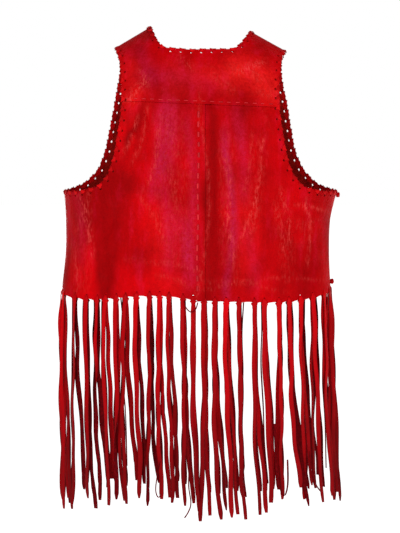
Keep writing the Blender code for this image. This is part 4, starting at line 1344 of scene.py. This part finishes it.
@dataclass(frozen=True)
class GrainLeather:
    """Drum-dyed cowhide, grain side out: saturated red with a low gloss and fine creases."""

    name: str
    base: str
    deep: str
    sheen: str
    pale: str
    glow_colour: str
    roughness: float
    gloss: float = 0.02
    # Cloudy dye about 100 mm wide, upright streaks 15 by 60 mm that also carry the painted
    # sheen, a grain 4 mm wide, upright scratches 1 to 3 mm wide and dents about 30 mm wide, each
    # with 1 m divided by its spots in X, Y and Z, its detail and its roughness
    noises: tuple = (
        ("clouds", (9.0, 9.0, 8.0), 3.0, 0.5),
        ("upright_streaks", (62.0, 62.0, 15.0), 5.0, 0.62),
        ("mottle", (250.0, 250.0, 210.0), 4.0, 0.65),
        ("scratch", (330.0, 330.0, 95.0), 5.0, 0.68),
        ("dents", (30.0, 30.0, 20.0), 3.0, 0.5))
    # What is read, from where, its limits and the new range
    ranges: tuple = (
        ("fresh_grain", "mottle", 0.25, 0.60, 0.45, 1.0),
        ("streaks", "upright_streaks", 0.50, 0.80, 0.0, 0.45),
        ("sheen_grain", "mottle", 0.30, 0.62, 0.25, 1.0),
        ("scratches", "scratch", 0.46, 0.72, 0.0, 1.0),
        ("streak_tone", "upright_streaks", 0.30, 0.72, 0.85, 1.11),
        ("grain_tone", "mottle", 0.30, 0.70, 0.90, 1.09),
        ("cell_walls", "cells", 0.0, 0.22, 0.0, 1.0))

    def make(self) -> bpy.types.Material:
        """Builds the material: mottled dye, painted sheen streaks, painted shade and glow, scuffs
        and grain relief.
        """
        material, tree, shader = start_material(self.name)
        place = add_node(tree, "ShaderNodeTexCoord").outputs["Object"]
        marks = {kind: add_node(tree, "ShaderNodeAttribute", {
            "attribute_name": kind.value}).outputs["Fac"] for kind in Mark}
        read = {"cells": add_node(tree, "ShaderNodeTexVoronoi", {"feature": "DISTANCE_TO_EDGE"}, {
            "Scale": 430.0}, {"Vector": place}).outputs["Distance"]}
        for label, scale, detail, roughness in self.noises:
            mapped = add_node(tree, "ShaderNodeMapping", inputs={"Scale": scale},
                              links={"Vector": place})
            read[label] = add_node(tree, "ShaderNodeTexNoise", inputs={
                "Scale": 1.0, "Detail": detail, "Roughness": roughness},
                links={"Vector": mapped.outputs["Vector"]}).outputs["Fac"]
        gloss_range = ("roughness", "upright_streaks", 0.3, 0.7, self.roughness + 0.10,
                       self.roughness - 0.06)
        for label, source, low, high, least, most in (*self.ranges, gloss_range):
            read[label] = add_node(tree, "ShaderNodeMapRange", inputs={
                "From Min": low, "From Max": high, "To Min": least, "To Max": most},
                links={"Value": read[source]}).outputs["Result"]
        # The painted glow also lifts the cloudy dye towards its lighter red
        glow_lifted = add_node(tree, "ShaderNodeMath", {"operation": "MULTIPLY_ADD"}, {1: 0.30},
                          {0: marks[Mark.FRESH], 2: read["clouds"]})
        dye_and_painted_light = add_node(tree, "ShaderNodeValToRGB", links={"Fac": glow_lifted.outputs["Value"]})
        for stop, position, code in zip(dye_and_painted_light.color_ramp.elements, (0.36, 0.60),
                                        (self.deep, self.base)):
            stop.position, stop.color = position, linear(code)
        painted_sheen_share = add_node(tree, "ShaderNodeMath", {"operation": "ADD"}, links={
            0: read["streaks"], 1: marks[Mark.SHEEN]})
        colour = dye_and_painted_light.outputs["Color"]
        for share, broken_by, other in (
                # A painted glow: broad patches of a brighter, warmer red stand in for light pooling
                # on the leather
                (marks[Mark.FRESH], "fresh_grain", self.glow_colour),
                # Painted sheen: a cooler red in upright streaks stands in for reflected light,
                # broken by the grain
                (painted_sheen_share.outputs["Value"], "sheen_grain", self.sheen),
                # Painted shade darkens the hollows of folds and creases, with some dye gathered
                # there
                (marks[Mark.HOLLOW], None, self.deep),
                # Pale scuffs in broken upright scratches, partly painted highlight on ridges and
                # creases
                (marks[Mark.SCUFF], "scratches", self.pale)):
            if broken_by:
                share = add_node(tree, "ShaderNodeMath", {
                    "operation": "MULTIPLY", "use_clamp": True},
                    links={0: share, 1: read[broken_by]}).outputs["Value"]
            colour = add_node(tree, "ShaderNodeMix", {"data_type": "RGBA"}, {7: linear(other)},
                              {0: share, 6: colour}).outputs[2]
        shade = add_node(tree, "ShaderNodeMath", {"operation": "MULTIPLY"}, links={
            0: read["streak_tone"], 1: read["grain_tone"]})
        toned = add_node(tree, "ShaderNodeHueSaturation", links={
            "Value": shade.outputs["Value"], "Color": colour})
        tree.links.new(toned.outputs["Color"], shader.inputs["Base Color"])
        # Soft handling wrinkles 8 to 25 mm long under a grain of 1.6 mm cells
        wrinkles = add_node(tree, "ShaderNodeTexNoise", {"noise_type": "RIDGED_MULTIFRACTAL"}, {
            "Scale": 52.0, "Detail": 4.0, "Roughness": 0.5, "Distortion": 0.5},
            {"Vector": place})
        below = {}
        for height, strength, distance in (
                (read["dents"], 0.50, 0.0040),
                (wrinkles.outputs["Fac"], 0.34, 0.0016),
                (read["cell_walls"], 0.30, 0.00022)):
            relief = add_node(tree, "ShaderNodeBump", inputs={
                "Strength": strength, "Distance": distance}, links={"Height": height, **below})
            below = {"Normal": relief.outputs["Normal"]}
        tree.links.new(below["Normal"], shader.inputs["Normal"])
        tree.links.new(read["roughness"], shader.inputs["Roughness"])
        shader.inputs["Specular IOR Level"].default_value = self.gloss
        return material


@dataclass(frozen=True)
class FleshLeather:
    """The raw flesh side of the same hide: darker, browner and without gloss."""

    name: str
    base: str
    deep: str
    fibre_mm: float

    def make(self) -> bpy.types.Material:
        """Builds the material: short fibres in two tones with a soft nap."""
        material, tree, shader = start_material(self.name)
        place = add_node(tree, "ShaderNodeTexCoord").outputs["Object"]
        fibres = add_node(tree, "ShaderNodeTexNoise", inputs={
            "Scale": 1000.0 / self.fibre_mm / 6, "Detail": 6.0, "Roughness": 0.7},
            links={"Vector": place})
        tone = add_node(tree, "ShaderNodeValToRGB", links={"Fac": fibres.outputs["Fac"]})
        tone.color_ramp.elements[0].position = 0.35
        tone.color_ramp.elements[0].color = linear(self.deep)
        tone.color_ramp.elements[1].position = 0.68
        tone.color_ramp.elements[1].color = linear(self.base)
        tree.links.new(tone.outputs["Color"], shader.inputs["Base Color"])
        nap = add_node(tree, "ShaderNodeBump", inputs={"Strength": 0.5, "Distance": 0.0004},
                       links={"Height": fibres.outputs["Fac"]})
        tree.links.new(nap.outputs["Normal"], shader.inputs["Normal"])
        shader.inputs["Roughness"].default_value = 0.9
        shader.inputs["Specular IOR Level"].default_value = 0.0
        return material


@dataclass(frozen=True)
class ThongLeather:
    """Cut thong, grain side: the panels' red, painted darker towards the hanging ends as shade."""

    name: str
    top: str
    bottom: str
    top_height: float
    bottom_height: float
    roughness: float
    edge: float = 0.55

    def make(self) -> bpy.types.Material:
        """Builds the material: a red painted darker downwards as shade, a tone per thong and dark
        edges.
        """
        material, tree, shader = start_material(self.name)
        place = add_node(tree, "ShaderNodeTexCoord").outputs["Object"]
        parts = add_node(tree, "ShaderNodeSeparateXYZ", links={"Vector": place})
        blotch = add_node(tree, "ShaderNodeTexNoise", inputs={
            "Scale": 34.0, "Detail": 4.0, "Roughness": 0.6}, links={"Vector": place})
        # Painted shade: darker from the top height down to the bottom height, moved by blotches
        height = add_node(tree, "ShaderNodeMapRange", inputs={
            "From Min": self.bottom_height, "From Max": self.top_height},
            links={"Value": parts.outputs["Z"]})
        spread = add_node(tree, "ShaderNodeMath", {"operation": "MULTIPLY_ADD"}, {
            1: 0.7, 2: -0.35}, {0: blotch.outputs["Fac"]})
        shifted = add_node(tree, "ShaderNodeMath", {"operation": "ADD", "use_clamp": True},
                           links={0: height.outputs["Result"], 1: spread.outputs["Value"]})
        dye_and_painted_light = add_node(tree, "ShaderNodeMix", {"data_type": "RGBA"},
                       {6: linear(self.bottom), 7: linear(self.top)},
                       {0: shifted.outputs["Value"]})
        tone = add_node(tree, "ShaderNodeAttribute", {"attribute_name": "tone"})
        value = add_node(tree, "ShaderNodeMapRange", inputs={"To Min": 0.76, "To Max": 1.22},
                         links={"Value": tone.outputs["Fac"]})
        # The cut edges show the hide's darker core; the darkening towards the long edges is also
        # painted shade that rounds the thong
        across = add_node(tree, "ShaderNodeAttribute", {"attribute_name": "rim"})
        out = add_node(tree, "ShaderNodeMath", {"operation": "ABSOLUTE"},
                       links={0: across.outputs["Fac"]})
        edge = add_node(tree, "ShaderNodeMapRange", inputs={
            "From Min": 0.35, "From Max": 0.95, "To Min": 1.0, "To Max": self.edge},
            links={"Value": out.outputs["Value"]})
        shade = add_node(tree, "ShaderNodeMath", {"operation": "MULTIPLY"}, links={
            0: value.outputs["Result"], 1: edge.outputs["Result"]})
        toned = add_node(tree, "ShaderNodeHueSaturation", links={
            "Value": shade.outputs["Value"], "Color": dye_and_painted_light.outputs[2]})
        tree.links.new(toned.outputs["Color"], shader.inputs["Base Color"])
        # Fine lengthwise pull marks, about 0.8 mm apart
        upright_streaks = add_node(tree, "ShaderNodeMapping", inputs={"Scale": (900.0, 900.0, 60.0)},
                          links={"Vector": place})
        marks = add_node(tree, "ShaderNodeTexNoise", inputs={"Scale": 1.0, "Detail": 3.0},
                         links={"Vector": upright_streaks.outputs["Vector"]})
        relief = add_node(tree, "ShaderNodeBump", inputs={"Strength": 0.20, "Distance": 0.0002},
                          links={"Height": marks.outputs["Fac"]})
        tree.links.new(relief.outputs["Normal"], shader.inputs["Normal"])
        shader.inputs["Roughness"].default_value = self.roughness
        shader.inputs["Specular IOR Level"].default_value = 0.03
        return material


@dataclass(frozen=True)
class Studio:
    """Floor, soft lights and the camera."""

    floor_height: float = -1.42
    floor_size: float = 60.0
    camera_at: tuple[float, float, float] = (-0.0008, -3.600, -0.1296)
    camera_tilt: float = math.radians(86.24)
    focal_px: float = 2229.5
    frame_height_px: int = 533
    sensor_mm: float = 36.0
    room_light: float = 0.42
    floor_glow: float = 0.75
    aim: tuple[float, float, float] = (0.0, 0.0, -0.35)
    lights: tuple = (
        # Place, size, power
        ((-1.4, -2.7, 1.5), 0.5, 58.0),
        ((1.6, -2.9, 0.3), 0.7, 28.0),
        ((0.60, 3.1, -0.10), 0.6, 44.0),
        ((-0.80, 3.1, -0.35), 0.7, 26.0))

    def set_camera(self) -> None:
        """Adds the camera where the photograph was taken from."""
        bpy.ops.object.camera_add(location=self.camera_at, rotation=(self.camera_tilt, 0, 0))
        camera = bpy.context.object
        camera.data.sensor_fit = "VERTICAL"
        camera.data.sensor_height = self.sensor_mm
        camera.data.lens = self.focal_px * self.sensor_mm / self.frame_height_px
        bpy.context.scene.camera = camera
        bpy.context.scene.view_settings.view_transform = "Standard"

    def set_lights(self) -> None:
        """Adds the softboxes and the white surround."""
        for place, size, power in self.lights:
            bpy.ops.object.light_add(type="AREA", location=place)
            lamp = bpy.context.object
            lamp.data.shape = "DISK"
            lamp.data.size = size
            lamp.data.energy = power
            way = Vector(self.aim) - Vector(place)
            lamp.rotation_euler = way.to_track_quat("-Z", "Y").to_euler()
        world = bpy.data.worlds.new("studio_surround")
        bpy.context.scene.world = world
        world.use_nodes = True
        tree = world.node_tree
        paper = tree.nodes["Background"]
        paper.inputs["Color"].default_value = (1, 1, 1, 1)
        # White paper to look at, with the room's own softer light on the leather
        seen = add_node(tree, "ShaderNodeLightPath").outputs["Is Camera Ray"]
        level = add_node(tree, "ShaderNodeMapRange", inputs={
            "To Min": self.room_light, "To Max": 1.0}, links={"Value": seen})
        tree.links.new(level.outputs["Result"], paper.inputs["Strength"])

    def set_floor(self) -> None:
        """Adds the pale floor far below the hanging vest."""
        bpy.ops.mesh.primitive_plane_add(size=self.floor_size, location=(0, 0, self.floor_height))
        floor = bpy.context.object
        floor.name = "studio_floor"
        material, _, shader = start_material("matt_white_floor_paint")
        for label, value in (("Base Color", (0.93, 0.93, 0.93, 1)), ("Roughness", 0.9),
                             ("Emission Color", (1, 1, 1, 1)),
                             ("Emission Strength", self.floor_glow)):
            shader.inputs[label].default_value = value
        floor.data.materials.append(material)


@dataclass
class HolePunch:
    """Punches round holes through a panel, and leaves out those that lie too close."""

    least_between: float = 0.0066
    corners: int = 14
    reach: float = 0.009

    def pins(self, holes: list[tuple[Array, Array, float]]) -> bpy.types.Object:
        """Stands a pin in each hole and joins them into one cutter."""
        bpy.ops.object.select_all(action="DESELECT")
        bpy.ops.mesh.primitive_cylinder_add(vertices=self.corners, radius=1.0, depth=1.0)
        first = bpy.context.object
        bpy.ops.object.mode_set(mode="EDIT")
        bpy.ops.mesh.select_all(action="SELECT")
        bpy.ops.transform.resize(value=(1.0, 1.0, self.reach))
        bpy.ops.object.mode_set(mode="OBJECT")
        pins = []
        kept: list[Array] = []
        for at, out, radius in holes:
            if any(np.linalg.norm(at - other) < self.least_between for other in kept):
                continue
            kept.append(at)
            pin = bpy.data.objects.new("pin", first.data.copy())
            bpy.context.scene.collection.objects.link(pin)
            pin.location = Vector(at)
            pin.rotation_euler = Vector(out).to_track_quat("Z", "Y").to_euler()
            pin.scale = (radius, radius, 1.0)
            pins.append(pin)
        bpy.data.objects.remove(first, do_unlink=True)
        only(pins[0])
        for pin in pins:
            pin.select_set(True)
        bpy.ops.object.join()
        bpy.ops.object.transform_apply(location=True, rotation=True, scale=True)
        return bpy.context.object

    def punch(self, obj: bpy.types.Object, holes: list[tuple[Array, Array, float]]) -> None:
        """Cuts the holes, whose walls take the panel's last material, its cut edge."""
        cutter = self.pins(holes)
        for material in obj.data.materials:
            cutter.data.materials.append(material)
        edge = len(obj.data.materials) - 1
        cutter.data.polygons.foreach_set("material_index", [edge] * len(cutter.data.polygons))
        only(obj)
        modifier = obj.modifiers.new("punched_holes", "BOOLEAN")
        modifier.operation = "DIFFERENCE"
        modifier.solver = "EXACT"
        modifier.object = cutter
        bpy.ops.object.modifier_apply(modifier=modifier.name)
        bpy.data.objects.remove(cutter, do_unlink=True)


@dataclass
class SideKnot:
    """A small thong knot pulled tight: three rings across each other."""

    stand_off: float = 0.0030
    reach: tuple[float, float, float] = (0.0025, 0.0026, 0.0034)
    width: float = 0.0046
    depth: float = 0.0013
    steps: int = 61
    lean: float = 0.25

    def tie(self, middle: tuple[float, float, float], number: int, blank: Thong) -> Bundle:
        """Ties one knot round its middle; the number sets how its rings lean."""
        bundle = Bundle()
        angle = np.linspace(0, 2 * np.pi, self.steps)
        rings = np.stack([np.cos(angle), np.sin(angle),
                          self.lean * np.sin(angle * 2 + number)], -1)
        for turn in range(3):
            ring = unit(np.roll(rings, turn, axis=1))
            centre = np.array(middle) + ring * self.reach
            flat = np.cross(unit(np.gradient(centre, axis=0)), ring)
            points = blank.bend(centre, flat, ring, np.full(self.steps, self.width), self.depth)
            bundle.add(blank, points, 0.3 + 0.2 * turn)
        return bundle


class Vest:
    """The whole vest: panels, lacing, stitches and fringe."""

    back_middle = 0.0015
    seam_hole_reach = 1.3
    side_hole_reach = 1.6
    panel_degrees = 40.0
    knots = (("knot_armpit_right", -0.2500), ("knot_hem_right", -0.3900))
    # The stitches down the back start below the seam, and those of the yoke lie above it
    middle_below_seam = 0.006
    middle_end = -0.406
    middle_x = (-0.0026, -0.0056)
    middle_waver = 0.0006
    yoke_half = 0.121
    yoke_above = 0.0042
    cuts = {
        # Flat width, flat length, flat area, what it hangs from, what goes with it
        "back_yoke": (0.300, 0.160, 0.0330, "front_left", ("lacing_neck",)),
        "back_left": (0.285, 0.310, 0.0660, "back_yoke",
                      ("fringe_back_left", "lacing_armhole_left")),
        "back_right": (0.285, 0.310, 0.0650, "back_yoke",
                       ("fringe_back_right", "lacing_armhole_right")),
        "front_left": (0.270, 0.500, 0.0750, "back_yoke", ("fringe_front_left",)),
        "front_right": (0.285, 0.500, 0.0770, "back_yoke", ("fringe_front_right",))}

    def __init__(self) -> None:
        """Sets up the form, the hem, the pattern and the finishes."""
        self.form = TorsoForm()
        self.hem = HemLine(self.form)
        self.cutter = PatternCutter(self.form, self.hem)
        self.lacing = WhipLacing()
        # Drum-dyed garment cowhide, an even red with painted sheen, painted shade and a painted
        # glow;
        # its raw flesh side, where the dye takes darker and browner; and its cut edge, where the
        # core shows
        self.hide = [
            GrainLeather("drum_dyed_cowhide_grain_side", "b50005", "880003", "a01436", "d24642",
                         "d81a18", 0.50).make(),
            FleshLeather("cowhide_flesh_side", "94160f", "6a0c0a", 1.2).make(),
            FleshLeather("cowhide_cut_edge", "a20c10", "7e070b", 0.8).make()]
        # Hanging thongs, their red painted darker towards the ends as shade
        self.thong = ThongLeather("hand_cut_thong_grain_side", "ac0107", "740307", -0.412, -0.70,
                                  0.44).make()
        # The thongs' flesh side, darker than the panels' own as painted shade on the hanging
        # strands
        self.thong_flesh_and_shade = FleshLeather("hand_cut_thong_flesh_side", "6a080d", "430508",
                                        0.8).make()
        # Lacing thong, dyed through and pressed smooth, its red painted slightly darker downwards
        # as shade
        self.lace_flesh = FleshLeather("lacing_thong_flesh_side", "8c0a0f", "6c070b", 0.8).make()
        self.lace = ThongLeather("lacing_thong_grain_side", "b00509", "a20408", 0.0, -0.42,
                                 0.55, 0.92).make()
        # Stitches rubbed pale where they stand proud of the seam, their paler red also a painted
        # highlight
        self.worn_and_highlit = ThongLeather("rubbed_seam_thong", "b5252c", "ac2026", 0.0, -0.42, 0.5).make()
        self.panels = {"back_yoke": self.cutter.yoke()}
        for word, cut in (("back", self.cutter.back), ("front", self.cutter.front)):
            self.panels |= {f"{word}_{side.name.lower()}": cut(side) for side in Side}
        self.holes: dict[str, list] = {name: [] for name in self.panels}
        self.pieces: dict[str, bpy.types.Object] = {}

    def keep(self, obj: bpy.types.Object, node: str) -> None:
        """Declares a piece that stands for a node."""
        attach(obj, "root")
        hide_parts(node)
        self.pieces[node] = obj
        LOG.info("%s: %d faces", obj.name, len(obj.data.polygons))

    def edge_lines(self) -> dict[str, EdgeLine]:
        """The three laced edges: round the neck and fronts, and each armhole."""
        yoke = self.panels["back_yoke"]
        top, last = yoke.rows, yoke.columns
        start = self.cutter.shoulder_cells * FINER
        across = range(start, start + self.cutter.neck_cells * FINER + 1)
        neck = yoke.edge([(i, top) for i in across], [(i, top - FINER) for i in across])
        left, right = self.panels["front_left"], self.panels["front_right"]
        lines = {"lacing_neck": EdgeLine([left.inner_edge(), neck, right.inner_edge()[::-1]],
                                         False)}
        for side, column, inside in ((Side.LEFT, 0, FINER), (Side.RIGHT, last, last - FINER)):
            name = side.name.lower()
            rows = range(top + 1)
            strap = yoke.edge([(column, j) for j in rows], [(inside, j) for j in rows])
            back = self.panels[f"back_{name}"].armhole_edge()
            seam = self.cutter.seam(side.value * self.cutter.yoke_armhole[-1][0])
            front = self.panels[f"front_{name}"].armhole_edge()[::-1]
            lines[f"lacing_armhole_{name}"] = EdgeLine([back[back[:, 0, 2] < seam], strap, front],
                                                       True)
        return lines

    def panels_at(self, point: Array) -> list[str]:
        """Names of the panels that a hole at a point goes through."""
        x, y, z = point
        side = "left" if x < 0 else "right"
        if y > 0:
            return [f"front_{side}"]
        above_seam = z - self.cutter.seam(x)
        reach = self.lacing.hole_radius * self.seam_hole_reach
        names = ["back_yoke"] if above_seam > -reach else []
        return names + ([f"back_{side}"] if above_seam < self.cutter.tuck + reach else [])

    def lace_edges(self) -> None:
        """Plans the holes and lays the whip lacing."""
        blank = Thong("lacing_blank", 18)
        for number, (name, line) in enumerate(self.edge_lines().items()):
            centre = None
            if not line.ring:
                off_middle = np.abs(line.at[:, 0] - self.back_middle) + (line.at[:, 1] > 0)
                centre = float(line.walked[np.argmin(off_middle)])
            spots = self.lacing.spots(line, centre)
            for at, out in self.lacing.holes(line, spots):
                if abs(at[1]) < self.lacing.hole_radius * self.side_hole_reach:
                    continue
                for panel in self.panels_at(at):
                    self.holes[panel].append((at, out, self.lacing.hole_radius))
            bundle = Bundle()
            self.lacing.lace(line, spots, blank, bundle, np.random.default_rng(40 + number))
            obj = bundle.build(name + "_thong", [self.lace, self.lace_flesh])
            self.keep(obj, name)

    def hang_fringe(self) -> None:
        """Hangs the fringe and plans its holes."""
        blank = Thong("fringe_blank", 44)
        fringe = Fringe(self.form, self.hem)
        rng = np.random.default_rng(7)
        for face in Face:
            for side in Side:
                name = f"{face.name}_{side.name}".lower()
                bundle = Bundle()
                fringe.hang(face, side, blank, bundle, rng)
                if face is Face.BACK:
                    fringe.hang_loose(side, blank, bundle)
                for row in self.hem.roots(face, side):
                    at, _, out = self.hem.frame(face, row[0], self.hem.hole_above)
                    self.holes[name].append((at, out, fringe.hole_radius))
                obj = bundle.build(f"fringe_{name}_thongs", [self.thong, self.thong_flesh_and_shade])
                self.keep(obj, f"fringe_{name}")

    def cut_panels(self) -> None:
        """Builds the leather panels, punched where thongs pass."""
        marks, tool = WearAndLightMarks(self.form), HolePunch()
        for name, panel in self.panels.items():
            obj = panel.mesh(f"{name}_leather", marks, self.hide)
            tool.punch(obj, self.holes[name])
            smooth_by_angle(obj, self.panel_degrees)
            self.keep(obj, name)

    def sew_seams(self) -> None:
        """Sews the running thong down the back and the stitches along the yoke."""
        rng = np.random.default_rng(3)
        blank = Thong("stitch_blank", 10)
        down = np.linspace(self.cutter.seam(0) - self.middle_below_seam, self.middle_end, 120)
        lapped = blend(*self.middle_x, np.linspace(0, 1, len(down)))
        lapped += self.middle_waver * np.sin(down * 60)
        across = np.linspace(-self.yoke_half, self.yoke_half, 160)
        for name, x, heights, lift, stitch in (
                ("back_middle_stitches", lapped, down, LEATHER + SEAM_GAP,
                 RunningStitch(0.0162, 0.0098, 0.0030, 0.0010)),
                ("yoke_seam_stitches", across, self.cutter.seam(across) + self.yoke_above, 0.0,
                 RunningStitch(0.0135, 0.0076, 0.0012, 0.0007))):
            at, out = self.form.leather(Face.BACK, self.form.wrap(x, heights), heights, lift)
            bundle = Bundle()
            stitch.sew(at, out, blank, bundle, rng)
            obj = bundle.build(name, [self.worn_and_highlit, self.lace])
            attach(obj, "root")
            LOG.info("%s: %d faces", obj.name, len(obj.data.polygons))

    def tie_knots(self) -> None:
        """Ties the two thong knots on the right side seam."""
        blank, knot = Thong("knot_blank", 24), SideKnot()
        for number, (name, height) in enumerate(self.knots):
            x = self.form.side_x(Side.RIGHT, height) + knot.stand_off
            obj = knot.tie((x, 0.0, height), number, blank).build(
                name + "_thong", [self.lace, self.thong_flesh_and_shade])
            self.keep(obj, name)

    def build(self) -> None:
        """Makes every piece in order."""
        self.lace_edges()
        self.hang_fringe()
        self.cut_panels()
        self.sew_seams()
        self.tie_knots()


def main() -> None:
    """Builds the studio and the vest."""
    logging.basicConfig(level=logging.INFO, format="%(name)s %(message)s")
    studio = Studio()
    studio.set_camera()
    Vest().build()
    studio.set_lights()
    studio.set_floor()


if __name__ == "__main__":
    main()
